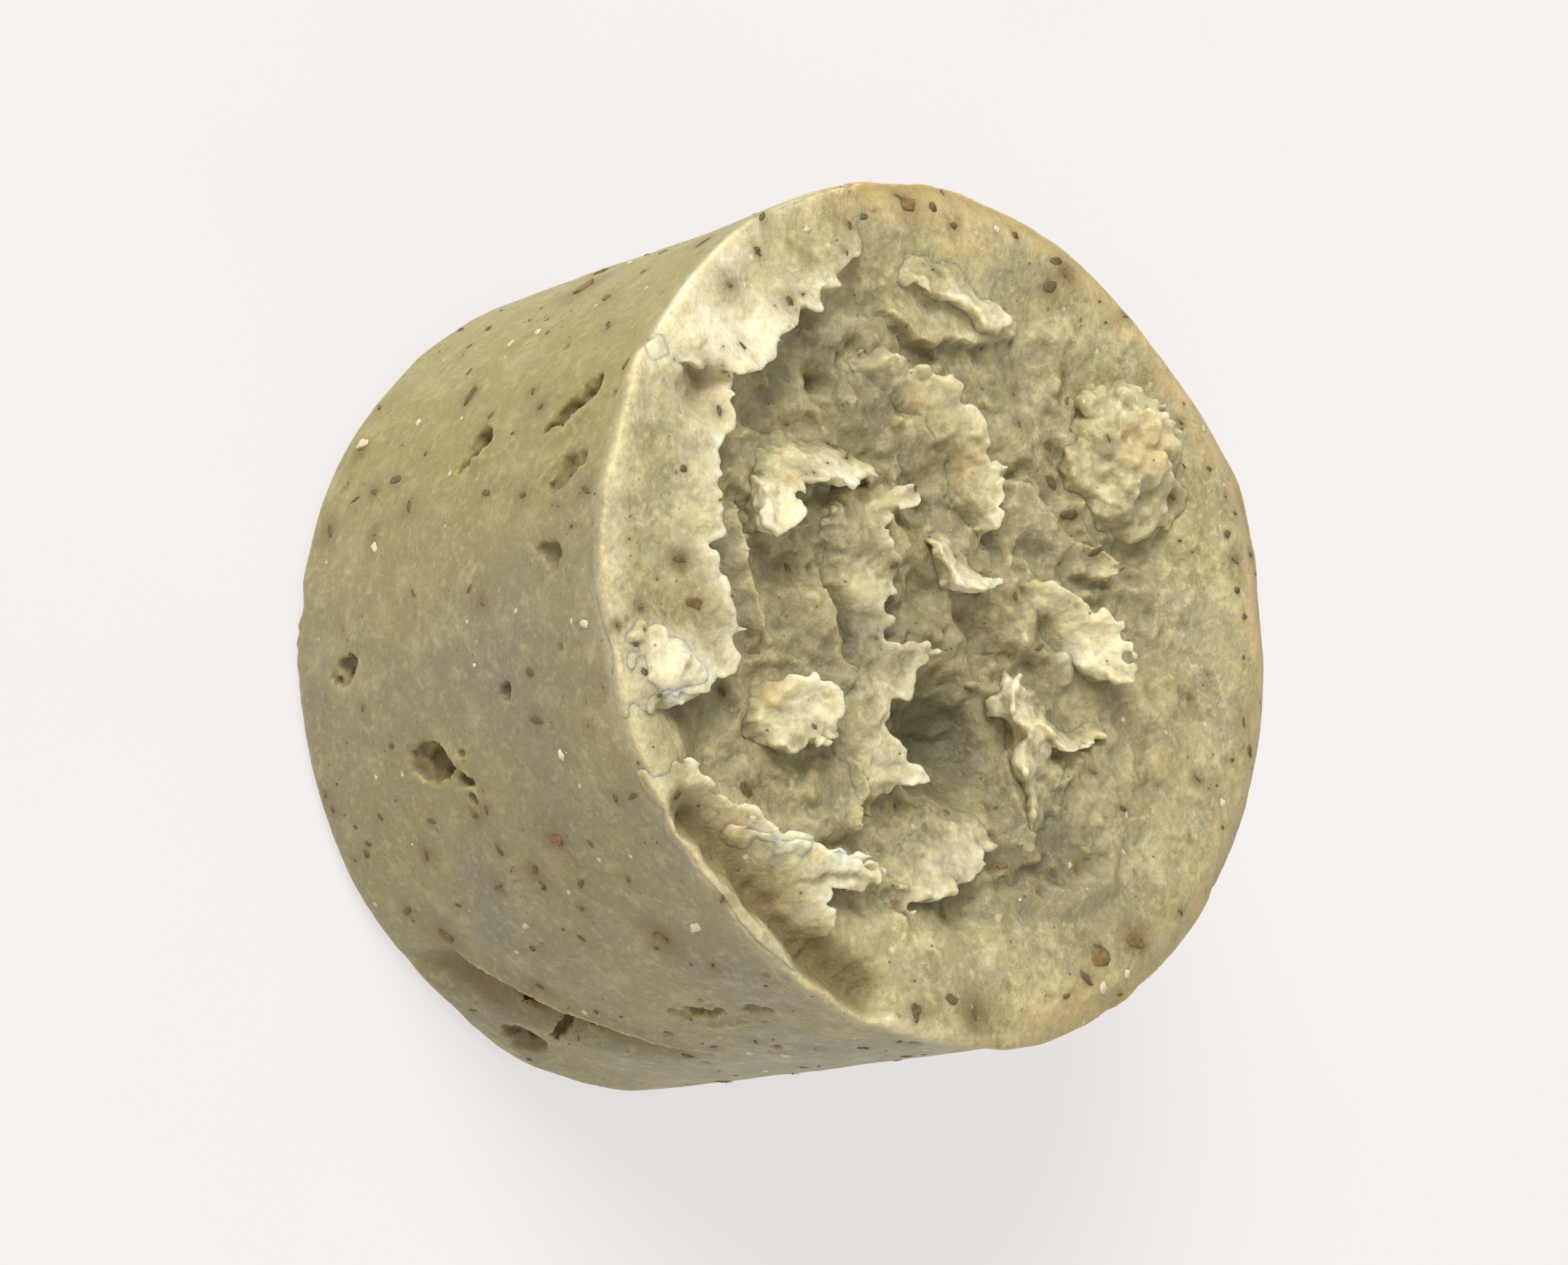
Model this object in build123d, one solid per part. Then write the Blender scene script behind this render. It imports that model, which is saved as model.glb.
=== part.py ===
"""A rustic cast puck of shaving soap, standing on its flat base with its rough top up.

The puck was cast in a round tube with a liner, so its wall is an almost straight cylinder with a lap where
the liner overlapped. Its top was left rough: a shallow dish with a smooth rim, hollows, and lumps, shreds,
ridges and smeared flaps of paste that set onto it. Chopped leaf, seeds, petals and pale grains sit in pockets
in the soap. Each lump and each kind of inclusion is its own node. Units are millimetres. The origin is the
centre of the base, and +Z is the axis of the puck, towards its rough top. The front of the puck faces -Y.
"""

from build123d import *
import math
import os
import random

# Driving dimensions
RIM_RADIUS = 32.8
BASE_RADIUS = 33.3
RIM_HEIGHT = 42.4
DISH_DEPTH = 2.4
BASE_EDGE = 1.2
RIM_EDGE = 0.5
DISH_FLOOR_SHARE = 0.93  # the dish floor's outline beside its outline at the rim

# Lap of the liner: an off-centre copy of the blank that stands proud on one side of a slanting step
LAP_PROUD = 0.85
LAP_OFFSET = 1.7
LAP_AZIMUTH = -30.0
LAP_STEP_FOOT_AZIMUTH = -60.0
LAP_STEP_HEAD_AZIMUTH = -38.0
LAP_TOP_CLEARANCE = 0.8

DISH_Z = RIM_HEIGHT - DISH_DEPTH
TOOL_SIZE = 4 * BASE_RADIUS  # larger than the puck, for boxes that cut it
OUT_DIR = "parts"

# The dish's outline at the rim: it wanders in and out as the paste was spread
DISH_OUTLINE = [
    (26.5, -1), (24.5, 12), (15, 21.5), (1, 25.5), (-13, 26), (-23, 17), (-27.5, 3),
    (-27, -11), (-20.5, -21.5), (-9, -27.5), (4, -29.5), (16, -26), (25, -14),
]

# Hollows in the dish: x, y, radius of the mouth, depth below the dish's floor
HOLLOWS = [
    (10.0, -1.5, 5.6, 3.4),
    (-8.5, -1.5, 3.4, 1.6),
    (6.0, -23.5, 3.6, 1.2),
    (-1.5, -2.5, 2.6, 1.3),
]

# Holes left by bubbles in the wall: azimuth, height, half width, half height, depth, lean in degrees
WALL_PITS = [
    (-128.5, 35.0, 1.1, 3.3, 1.8, 35),
    (-127.5, 24.0, 1.6, 1.7, 1.7, 0),
    (-109.0, 35.0, 0.7, 1.1, 0.9, 0),
    (-102.0, 8.6, 1.1, 2.1, 1.3, 10),
    (-86.0, 18.3, 1.4, 2.7, 1.8, -5),
    (-94.0, 29.0, 0.7, 0.7, 0.7, 0),
    (-41.0, 7.0, 1.4, 3.6, 1.4, -20),
    (20.0, 27.0, 1.3, 1.8, 1.4, 20),
    (58.0, 13.0, 1.0, 1.6, 1.1, -15),
    (104.0, 31.0, 1.5, 1.3, 1.5, 0),
    (139.0, 17.5, 1.0, 2.4, 1.3, 30),
    (171.0, 33.0, 0.9, 1.1, 1.0, 0),
]

# Lumps and ridges of paste on the dish: outline on the floor, outline of the crest, crest height over it
PASTE_PEAKS = {
    "wedge_shard": (
        [(-1.2, 9.2), (1.2, 7.4), (7.2, 8.2), (9.4, 10.6), (7.0, 12.6), (1.6, 12.2)],
        [(1.6, 10.2), (3.0, 9.9), (6.6, 10.3), (7.8, 11.4), (6.2, 11.9), (3.0, 11.5)],
        4.4,
    ),
    "hollow_clump": (
        [(5.4, 4.7), (9.3, 4.4), (12.8, 6.2), (13.6, 10.6), (11.6, 12.0), (8.0, 9.0)],
        [(7.0, 5.7), (9.0, 5.6), (10.9, 6.9), (11.9, 9.2), (11.2, 9.7), (8.4, 7.6)],
        3.4,
    ),
    "centre_crest": (
        [(-5.4, 2.0), (-2.4, 1.2), (0.8, 2.6), (1.2, 5.4), (-0.8, 5.9), (-4.4, 4.4)],
        [(-3.0, 2.7), (-1.9, 2.5), (-0.4, 3.2), (0.0, 4.2), (-0.8, 4.4), (-2.4, 3.7)],
        3.1,
    ),
    "centre_curl": (
        [(-14.8, -13.4), (-11.6, -16.0), (-7.4, -14.2), (-8.2, -5.2), (-10.6, -3.0), (-13.4, -5.8)],
        [(-12.9, -12.6), (-11.4, -13.7), (-9.7, -12.7), (-10.0, -6.9), (-10.9, -6.0), (-12.2, -7.2)],
        3.8,
    ),
    "lower_peak": (
        [(1.2, -17.8), (3.6, -19.9), (7.6, -18.2), (8.4, -15.4), (5.6, -13.6), (2.2, -14.2)],
        [(3.2, -16.9), (4.3, -17.7), (6.0, -17.0), (6.4, -15.8), (5.2, -15.2), (3.7, -15.5)],
        3.6,
    ),
    "side_ridge": (
        [(15.4, -8.4), (17.6, -10.0), (19.8, -7.4), (20.0, 1.0), (17.8, 3.4), (16.0, -0.4)],
        [(16.9, -6.6), (17.8, -7.2), (18.5, -5.9), (18.6, -0.8), (17.9, 0.2), (17.2, -1.6)],
        2.4,
    ),
    "diagonal_ridge": (
        [(11.0, -22.6), (13.0, -23.8), (16.0, -21.0), (18.8, -14.4), (17.2, -12.6), (14.4, -15.8)],
        [(12.6, -21.6), (13.4, -22.0), (15.0, -20.0), (17.0, -15.4), (16.6, -14.8), (15.2, -16.8)],
        2.7,
    ),
    "left_shred": (
        [(-25.2, 4.4), (-23.6, 2.6), (-21.2, 5.2), (-18.8, 11.4), (-20.2, 13.0), (-23.2, 9.8)],
        [(-23.6, 5.2), (-23.0, 4.7), (-21.9, 6.4), (-20.4, 10.4), (-20.8, 10.8), (-22.4, 8.8)],
        2.6,
    ),
    "arched_ridge": (
        [(-20.2, -1.6), (-18.7, 2.6), (-14.6, 6.8), (-9.0, 7.9), (-6.0, 6.4),
         (-6.6, 4.4), (-9.4, 5.2), (-13.4, 4.3), (-16.4, 1.2), (-17.8, -1.4)],
        [(-19.4, -0.8), (-18.0, 2.2), (-14.3, 5.9), (-9.2, 7.0), (-7.2, 6.0),
         (-7.3, 5.5), (-9.3, 6.1), (-13.8, 5.2), (-17.2, 1.8), (-18.4, -0.8)],
        2.0,
    ),
    "torn_shelf": (
        [(-6.4, -6.8), (-4.2, -5.8), (-2.2, -7.4), (0.2, -7.2), (2.8, -5.4), (4.8, -8.6), (8.8, -9.8),
         (11.8, -9.6), (13.2, -11.4), (10.0, -12.8), (6.0, -11.9), (2.0, -11.4), (-2.0, -11.8),
         (-5.6, -11.0)],
        [(-5.8, -7.4), (-4.2, -6.6), (-2.4, -8.1), (0.4, -7.9), (2.7, -6.6), (4.5, -9.2), (8.8, -10.4),
         (11.5, -10.2), (12.2, -11.3), (10.0, -11.9), (6.0, -11.0), (2.0, -10.4), (-2.0, -10.8),
         (-5.2, -10.0)],
        1.5,
    ),
}

# The knob: a peak of paste that stands on the end of the near flap
FLAP_KNOB = (
    [(-3.4, -25.4), (-1.6, -28.9), (0.9, -28.4), (0.5, -23.4), (-1.0, -22.2), (-2.6, -23.0)],
    [(-2.2, -25.5), (-1.3, -27.2), (-0.2, -27.0), (-0.3, -24.5), (-1.0, -23.9), (-1.8, -24.2)],
    1.7,
)

# The big crumb: a cluster of nodules that set on the dish: x, y, radius, height of the centre over the floor
CRUMB_NODULES = [
    (-8.4, 19.6, 4.3, 0.4),
    (-11.9, 20.8, 2.2, 0.6),
    (-5.6, 21.8, 2.5, 0.3),
    (-9.4, 16.4, 2.3, 0.4),
    (-6.2, 17.4, 2.1, 0.9),
    (-9.0, 22.6, 2.4, 0.8),
    (-8.0, 20.0, 2.4, 2.6),
]

# Flaps: paste smeared inside the rim and level with it. Each has a torn inner edge and lies outside that
FLAPS = {
    "near_flap": (
        [(-25.0, -12.4), (-21.6, -12.8), (-20.0, -16.8), (-17.2, -19.4), (-13.0, -18.8), (-10.2, -20.8),
         (-6.2, -20.2), (-3.8, -21.2), (-1.2, -20.2), (0.6, -22.6), (1.2, -26.0)],
        [(1.6, -34.0), (-14.0, -34.0), (-34.0, -22.0), (-34.0, -11.0)],
    ),
    "far_flap": (
        [(6.0, -29.4), (9.6, -27.2), (12.6, -26.0), (15.6, -23.6), (18.4, -22.0), (20.4, -18.8),
         (24.0, -18.0)],
        [(34.0, -18.0), (34.0, -34.0), (6.0, -34.0)],
    ),
}

# Inclusions, node by node. sizes: shortest and longest length of a chip, or smallest and largest radius of a
# ball. width_share: a chip's width over its length, or None for a ball. placed_on_wall: azimuth, height, size
# and spin. placed_on_top: x, y, height of the surface there, size and spin. The counts are of more that are
# scattered at random.
INCLUSIONS = {
    "petal_flecks": {
        "sizes": (1.4, 2.4),
        "width_share": 0.55,
        "placed_on_wall": [(-73.5, 28.2, 1.5, 80), (-57.0, 32.5, 1.2, 20)],
        "placed_on_top": [(28.2, 5.0, RIM_HEIGHT, 2.0, 100), (-4.8, -25.2, RIM_HEIGHT, 1.5, 60)],
        "wall_count": 5,
        "top_count": 2,
    },
    "leaf_flecks": {
        "sizes": (0.7, 1.7),
        "width_share": 0.32,
        "placed_on_wall": [
            (-116, 39.0, 1.4, 60), (-118, 31.0, 1.0, 80), (-131, 30.0, 0.9, 100), (-134, 28.0, 0.9, 20),
            (-120, 26.0, 1.3, 70), (-77, 39.0, 1.2, 100), (-68, 24.0, 1.0, 40), (-69, 19.0, 1.1, 95),
            (-79.5, 14.7, 1.2, 75), (-84, 2.4, 0.8, 10), (-68, 6.0, 1.3, 110), (-50, 3.4, 1.0, 85),
            (-30, 17.0, 1.2, 60), (-33, 22.8, 1.3, 90), (-153, 18.0, 1.0, 50), (-89, 31.5, 1.6, 75),
        ],
        "placed_on_top": [
            (-24.4, -7.0, DISH_Z, 1.3, 150), (9.0, -22.5, DISH_Z, 1.7, 20), (-0.5, -19.0, DISH_Z, 1.4, 35),
            (-5.8, -13.4, DISH_Z, 1.0, 10), (-22.0, -15.5, RIM_HEIGHT, 0.8, 20),
            (-22.5, 17.3, RIM_HEIGHT, 1.6, 85), (-8.0, -25.5, RIM_HEIGHT, 0.9, 70),
            (26.9, 14.3, RIM_HEIGHT, 0.8, 50), (-17.8, -18.6, RIM_HEIGHT, 0.9, 0),
        ],
        "wall_count": 46,
        "top_count": 16,
    },
    "seed_specks": {
        "sizes": (0.26, 0.46),
        "width_share": None,
        "placed_on_wall": [(-95, 32.0, 0.5, 0), (-128, 27.4, 0.32, 0), (-59, 17.7, 0.38, 0)],
        "placed_on_top": [(-30.0, 7.0, RIM_HEIGHT, 0.55, 0), (-14.2, -23.2, RIM_HEIGHT, 0.38, 0)],
        "wall_count": 24,
        "top_count": 14,
    },
    "pale_grains": {
        "sizes": (0.32, 0.6),
        "width_share": None,
        "placed_on_wall": [
            (-57.5, 37.0, 0.95, 0), (-99, 39.3, 0.5, 0), (-84, 33.0, 0.6, 0),
            (-148, 22.0, 0.6, 0), (-117, 11.5, 0.6, 0), (-135, 4.6, 0.95, 0),
        ],
        "placed_on_top": [(30.5, 4.5, RIM_HEIGHT, 0.7, 0), (18.6, 12.0, DISH_Z, 0.5, 0)],
        "wall_count": 14,
        "top_count": 8,
    },
}
CHIP_THICKNESS = 0.3
PROUD = 0.08  # how far an inclusion stands out of the soap
SPACING = 1.9
SCATTER_SEED = 7
WALL_MARGIN = 3.0
PIT_CLEARANCE = 5.5
STEP_CLEARANCE = 5.0  # degrees on each side of the lap's step
RIM_SPOTS = (29.0, 31.2)
RIM_SPOT_CLEARANCE = 1.5
RIM_SPOT_SHARE = 0.4
FLOOR_SPOTS_REACH = 19.0
FLOOR_SPOTS_FRONT = -17.0
SPOT_CLEARANCE = 1.5


def step_azimuth(height):
    """Azimuth of the lap's slanting step at a height."""
    return LAP_STEP_FOOT_AZIMUTH + (LAP_STEP_HEAD_AZIMUTH - LAP_STEP_FOOT_AZIMUTH) * height / RIM_HEIGHT


def wall_radius(azimuth, height):
    """Radius of the wall at an azimuth in degrees and a height, on the lap where it stands proud."""
    plain = BASE_RADIUS + (RIM_RADIUS - BASE_RADIUS) * height / RIM_HEIGHT
    if not step_azimuth(height) < azimuth < LAP_AZIMUTH + 90:
        return plain
    turn = math.radians(azimuth - LAP_AZIMUTH)
    lap = plain + LAP_PROUD - LAP_OFFSET
    return max(plain, LAP_OFFSET * math.cos(turn) + math.sqrt(lap**2 - (LAP_OFFSET * math.sin(turn)) ** 2))


def on_wall(azimuth, height):
    """The point of the wall at an azimuth in degrees and a height."""
    turn = math.radians(azimuth)
    radius = wall_radius(azimuth, height)
    return Vector(radius * math.cos(turn), radius * math.sin(turn), height)


def wall_place(azimuth, height, spin=0.0):
    """A place on the wall whose local Z points outwards, spun about Z from lying level."""
    turn = math.radians(azimuth)
    outwards = (math.cos(turn), math.sin(turn), 0)
    along = (-math.sin(turn), math.cos(turn), 0)
    return Plane(on_wall(azimuth, height), x_dir=along, z_dir=outwards).location * Rotation(0, 0, spin)


def outline_face(points, height):
    """A flat face with straight sides at a height."""
    return Plane.XY.offset(height) * make_face(Polyline(*points, close=True))


def dish_curve(share=1.0):
    """The dish's outline as one smooth closed curve, drawn in towards the axis by share."""
    return Spline(*[(x * share, y * share) for x, y in DISH_OUTLINE], periodic=True)


def make_blank(base_radius, rim_radius, height):
    """A plain puck, turned about its axis, with a rounded foot and a slight edge at the rim."""
    foot = base_radius - BASE_EDGE
    with BuildLine() as wall:
        Line((0, 0), (foot, 0))
        RadiusArc((foot, 0), (base_radius, BASE_EDGE), -BASE_EDGE)
        Line((base_radius, BASE_EDGE), (rim_radius, height - RIM_EDGE))
        Line((rim_radius, height - RIM_EDGE), (rim_radius - RIM_EDGE, height))
        Line((rim_radius - RIM_EDGE, height), (0, height))
        Line((0, height), (0, 0))
    return revolve(Plane.XZ * make_face(wall.line), Axis.Z)


def make_lap():
    """The part of the off-centre blank that lies beyond the slanting step, where the liner overlapped."""
    growth = LAP_PROUD - LAP_OFFSET
    turn = math.radians(LAP_AZIMUTH)
    drum = make_blank(BASE_RADIUS + growth, RIM_RADIUS + growth, RIM_HEIGHT - LAP_TOP_CLEARANCE)
    drum = Pos(LAP_OFFSET * math.cos(turn), LAP_OFFSET * math.sin(turn), 0) * drum
    foot = on_wall(LAP_STEP_FOOT_AZIMUTH, 0)
    head = on_wall(LAP_STEP_HEAD_AZIMUTH, RIM_HEIGHT)
    across = (foot + head).normalized()
    towards_lap = (head - foot).cross(across)
    beyond = Plane(foot, z_dir=towards_lap if towards_lap.Y > 0 else -towards_lap)
    return drum & beyond * Box(TOOL_SIZE, TOOL_SIZE, TOOL_SIZE, align=(Align.CENTER, Align.CENTER, Align.MIN))


def make_dish():
    """The space of the shallow dish in the top: a loft from its floor to the rim."""
    floor = Plane.XY.offset(DISH_Z) * make_face(dish_curve(DISH_FLOOR_SHARE))
    mouth = Plane.XY.offset(RIM_HEIGHT) * make_face(dish_curve())
    return loft([floor, mouth])


def make_hollow(x, y, mouth, depth):
    """A ball that cuts a round hollow of that mouth and depth into the dish's floor."""
    radius = (mouth**2 + depth**2) / (2 * depth)
    return Pos(x, y, DISH_Z - depth + radius) * Sphere(radius)


def make_pit(azimuth, height, half_width, half_height, depth, lean):
    """An egg-shaped hole in the wall, left by a bubble."""
    return wall_place(azimuth, height, lean) * scale(Sphere(1), by=(half_width, half_height, depth))


def make_peak(outline, crest, rise, foot):
    """A lump of paste that narrows from its outline, at height foot, to its crest."""
    return loft([outline_face(outline, foot), outline_face(crest, foot + rise)], ruled=True)


def make_crumb():
    """The big crumb: its nodules, each flat where it set on the dish, joined into one."""
    below = Pos(0, 0, DISH_Z) * Box(
        TOOL_SIZE, TOOL_SIZE, TOOL_SIZE, align=(Align.CENTER, Align.CENTER, Align.MAX)
    )
    nodules = [(Pos(x, y, DISH_Z + up) * Sphere(radius)).cut(below) for x, y, radius, up in CRUMB_NODULES]
    return nodules[0].fuse(*nodules[1:])


def make_flap(dish, torn_edge, outside):
    """A smeared flap: the part of the dish's space that lies outside the torn edge."""
    return extrude(outline_face(torn_edge + outside, DISH_Z), DISH_DEPTH) & dish


def clear_of(point, others, gap):
    """True if a point is at least gap from every other point."""
    return all((point - other).length >= gap for other in others)


def covered_spots():
    """Centre and reach of everything that covers or cuts the dish's floor."""
    spots = [(x, y, radius) for x, y, radius, _ in HOLLOWS + CRUMB_NODULES]
    for outline, _, _ in PASTE_PEAKS.values():
        centre_x = sum(x for x, _ in outline) / len(outline)
        centre_y = sum(y for _, y in outline) / len(outline)
        spots.append((centre_x, centre_y, max(math.hypot(x - centre_x, y - centre_y) for x, y in outline)))
    return spots


def scatter_on_wall(count, rng, taken):
    """Random azimuths and heights on the wall, clear of its pits, of the lap's step and of each other."""
    pits = [on_wall(azimuth, height) for azimuth, height, *_ in WALL_PITS]
    found = []
    while len(found) < count:
        azimuth = rng.uniform(-180, 180)
        height = rng.uniform(WALL_MARGIN, RIM_HEIGHT - WALL_MARGIN)
        point = on_wall(azimuth, height)
        if abs(azimuth - step_azimuth(height)) < STEP_CLEARANCE or not clear_of(point, pits, PIT_CLEARANCE):
            continue
        if clear_of(point, taken, SPACING):
            taken.append(point)
            found.append((azimuth, height))
    return found


def scatter_on_top(count, rng, taken):
    """Random places on the dish's bare floor and on the smooth rim, clear of each other."""
    mouth = dish_curve()
    covered = covered_spots()
    found = []
    while len(found) < count:
        turn = rng.uniform(-math.pi, math.pi)
        if rng.random() < RIM_SPOT_SHARE:
            reach, height = rng.uniform(*RIM_SPOTS), RIM_HEIGHT
        else:
            reach, height = FLOOR_SPOTS_REACH * math.sqrt(rng.random()), DISH_Z
        x, y = reach * math.cos(turn), reach * math.sin(turn)
        if height == RIM_HEIGHT:
            free = mouth.distance_to(Vertex(x, y, 0)) > RIM_SPOT_CLEARANCE
        else:
            free = all(math.hypot(x - a, y - b) > r + SPOT_CLEARANCE for a, b, r in covered)
            free = free and y > FLOOR_SPOTS_FRONT
        point = Vector(x, y, height)
        if free and clear_of(point, taken, SPACING):
            taken.append(point)
            found.append((x, y, height))
    return found


def make_inclusion(size, width_share):
    """One inclusion, its top PROUD above local Z = 0: a thin chip along local X, or a ball."""
    if width_share is None:
        return Pos(0, 0, PROUD - size) * Sphere(size)
    return Pos(0, 0, PROUD - CHIP_THICKNESS / 2) * Box(size, size * width_share, CHIP_THICKNESS)


def make_inclusions():
    """Every inclusion, as a list of separate small solids for each node."""
    rng = random.Random(SCATTER_SEED)
    taken = []
    for kind in INCLUSIONS.values():
        taken += [on_wall(azimuth, height) for azimuth, height, *_ in kind["placed_on_wall"]]
        taken += [Vector(x, y, height) for x, y, height, *_ in kind["placed_on_top"]]
    made = {}
    for node, kind in INCLUSIONS.items():
        on_the_wall = list(kind["placed_on_wall"])
        for azimuth, height in scatter_on_wall(kind["wall_count"], rng, taken):
            on_the_wall.append((azimuth, height, rng.uniform(*kind["sizes"]), rng.uniform(0, 180)))
        on_the_top = list(kind["placed_on_top"])
        for x, y, height in scatter_on_top(kind["top_count"], rng, taken):
            on_the_top.append((x, y, height, rng.uniform(*kind["sizes"]), rng.uniform(0, 180)))
        width_share = kind["width_share"]
        made[node] = [
            wall_place(azimuth, height, spin) * make_inclusion(size, width_share)
            for azimuth, height, size, spin in on_the_wall
        ] + [
            Pos(x, y, height) * Rotation(0, 0, spin) * make_inclusion(size, width_share)
            for x, y, height, size, spin in on_the_top
        ]
    return made


def write(node, solids):
    """One STEP file for a node, as a compound where it holds several solids."""
    shape = solids[0] if len(solids) == 1 else Compound(children=solids)
    export_step(shape, f"{OUT_DIR}/{node}.step")


def main():
    os.makedirs(OUT_DIR, exist_ok=True)
    dish = make_dish()
    inclusions = make_inclusions()
    pockets = [piece for pieces in inclusions.values() for piece in pieces]
    hollows = [make_hollow(*hollow) for hollow in HOLLOWS]
    pits = [make_pit(*pit) for pit in WALL_PITS]
    body = make_blank(BASE_RADIUS, RIM_RADIUS, RIM_HEIGHT) + make_lap()
    write("soap_body", body.cut(dish, *hollows, *pits, *pockets).solids())
    for node, (torn_edge, outside) in FLAPS.items():
        write(node, make_flap(dish, torn_edge, outside).cut(*pockets).solids())
    for node, (outline, crest, rise) in PASTE_PEAKS.items():
        write(node, [make_peak(outline, crest, rise, DISH_Z)])
    write("flap_knob", [make_peak(*FLAP_KNOB, RIM_HEIGHT)])
    write("crumb_lump", [make_crumb()])
    for node, pieces in inclusions.items():
        write(node, pieces)


main()
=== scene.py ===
import math

import bpy
import numpy as np
from mathutils import Matrix, Vector
from mathutils.bvhtree import BVHTree


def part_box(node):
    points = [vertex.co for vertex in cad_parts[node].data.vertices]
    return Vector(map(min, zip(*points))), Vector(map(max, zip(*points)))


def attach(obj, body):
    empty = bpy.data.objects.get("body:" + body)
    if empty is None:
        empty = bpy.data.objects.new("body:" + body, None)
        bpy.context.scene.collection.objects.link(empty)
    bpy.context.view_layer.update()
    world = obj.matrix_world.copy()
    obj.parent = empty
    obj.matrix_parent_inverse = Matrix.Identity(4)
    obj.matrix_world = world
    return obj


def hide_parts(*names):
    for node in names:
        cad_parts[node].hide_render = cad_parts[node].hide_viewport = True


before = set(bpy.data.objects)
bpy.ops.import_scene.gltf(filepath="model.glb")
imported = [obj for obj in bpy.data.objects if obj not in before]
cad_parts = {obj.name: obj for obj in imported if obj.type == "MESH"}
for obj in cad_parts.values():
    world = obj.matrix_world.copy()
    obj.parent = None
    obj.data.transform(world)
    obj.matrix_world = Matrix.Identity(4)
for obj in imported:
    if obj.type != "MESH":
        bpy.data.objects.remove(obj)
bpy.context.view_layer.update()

# A rustic puck of shaving soap. Every lump, flap and group of inclusions is its own mesh, made from a field
# (negative inside the soap) that is turned into a closed surface. Lengths are in millimetres in the row frame
# until a mesh is made, heights of lumps are over the dish's floor, and paths and outlines are plan places.
MM = 0.001
BODY_LOW, BODY_HIGH = (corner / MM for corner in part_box("soap_body"))
BASE_RADIUS = -BODY_LOW.x
RIM_RADIUS = BASE_RADIUS - 0.5
RIM_Z = BODY_HIGH.z
FLOOR_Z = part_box("crumb_lump")[0].z / MM
DISH_DEPTH = 2.1
EMBEDDED = 1.1  # how far a lump reaches into the soap under it

COARSE = 1.0
BODY_STEP = 0.27 * COARSE
LUMP_STEP = 0.15 * COARSE
FLAP_STEP = 0.19 * COARSE
MOST_FACES = 185000
BODY_GRID_HALF = 35.5

# ---------------------------------------------------------------- fields


class Lattice:
    """Smooth random values in space, between -1 and 1, the same on each run."""

    SIZE = 64

    def __init__(self, seed):
        self.values = np.random.default_rng(seed).uniform(-1, 1, (self.SIZE,) * 3).astype(np.float32)

    def at(self, places):
        """The values at places, given as three arrays in units of the lattice."""
        cells, shares = [], []
        for place in places:
            cell = np.floor(place)
            share = (place - cell).astype(np.float32)
            cells.append(cell.astype(np.int32) % self.SIZE)
            shares.append(share * share * (3 - 2 * share))
        total = np.zeros_like(shares[0])
        for corner in range(8):
            near = [corner >> axis & 1 for axis in range(3)]
            weight = 1.0
            for share, far in zip(shares, near):
                weight = weight * (share if far else 1 - share)
            spots = tuple((cell + far) % self.SIZE for cell, far in zip(cells, near))
            total += weight * self.values[spots]
        return total


LATTICES = [Lattice(seed) for seed in range(4)]


def noise(x, y, z, wave, layers=1, seed=0):
    """Cloudy values, about -1 to 1, that change over about one wave, with finer layers added."""
    total, share, whole = 0, 1.0, 0.0
    z = np.broadcast_to(np.asarray(z, np.float32), np.shape(x))
    for layer in range(layers):
        shift = 17.3 * (layer + 1) + 5.1 * seed
        lattice = LATTICES[(seed + layer) % len(LATTICES)]
        total = total + share * lattice.at([place / wave + shift for place in (x, y, z)])
        whole += share
        share *= 0.5
        wave *= 0.49
    return total / whole


def smooth_step(low, high, value):
    """0 at low and before it, 1 at high and past it, and smooth between. low may be more than high."""
    share = np.clip((value - low) / (high - low), 0, 1)
    return share * share * (3 - 2 * share)


def smooth_max(a, b, reach):
    """The larger of two fields, rounded over reach where they meet."""
    overlap = np.maximum(reach - np.abs(a - b), 0) / reach
    return np.maximum(a, b) + overlap * overlap * reach / 4


def along(path, x, y):
    """Distance in plan to a path, and the path's further values carried along it to the nearest point."""
    path = np.array(path, np.float32)
    nearest = np.full(np.shape(x), np.inf, np.float32)
    carried = [np.zeros(np.shape(x), np.float32) for _ in range(path.shape[1] - 2)]
    for start, end in zip(path, path[1:]):
        step = end - start
        share = ((x - start[0]) * step[0] + (y - start[1]) * step[1]) / (step[0] ** 2 + step[1] ** 2)
        share = np.clip(share, 0, 1)
        distance = np.hypot(x - start[0] - share * step[0], y - start[1] - share * step[1])
        closer = distance < nearest
        nearest = np.where(closer, distance, nearest)
        for k in range(len(carried)):
            carried[k] = np.where(closer, start[2 + k] + share * step[2 + k], carried[k])
    return nearest, carried


def terraces(value, count):
    """A smooth value turned into that many steps per unit, each a gentle slope that ends in a short drop."""
    level = value * count
    part = level - np.floor(level)
    return (np.floor(level) + 0.25 * part + 0.75 * smooth_step(0.8, 1.0, part)) / count


def inside(outline, x, y):
    """Distance to a closed outline in plan, negative inside it."""
    closed = outline + outline[:1]
    within = np.zeros(np.shape(x), bool)
    for (ax, ay), (bx, by) in zip(closed, closed[1:]):
        if ay != by:
            within ^= ((ay > y) != (by > y)) & (x < (bx - ax) * (y - ay) / (by - ay) + ax)
    distance, _ = along(closed, x, y)
    return np.where(within, -distance, distance)


# ---------------------------------------------------------------- the top and the wall of the puck

DISH_OUTLINE = [
    (26.5, -1), (24.5, 12), (15, 21.5), (1, 25.5), (-13, 26), (-23, 17), (-27.5, 3), (-27, -11), (-20.5, -21.5),
    (-9, -27.5), (4, -30.5), (16, -27), (25, -14),
]

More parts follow.
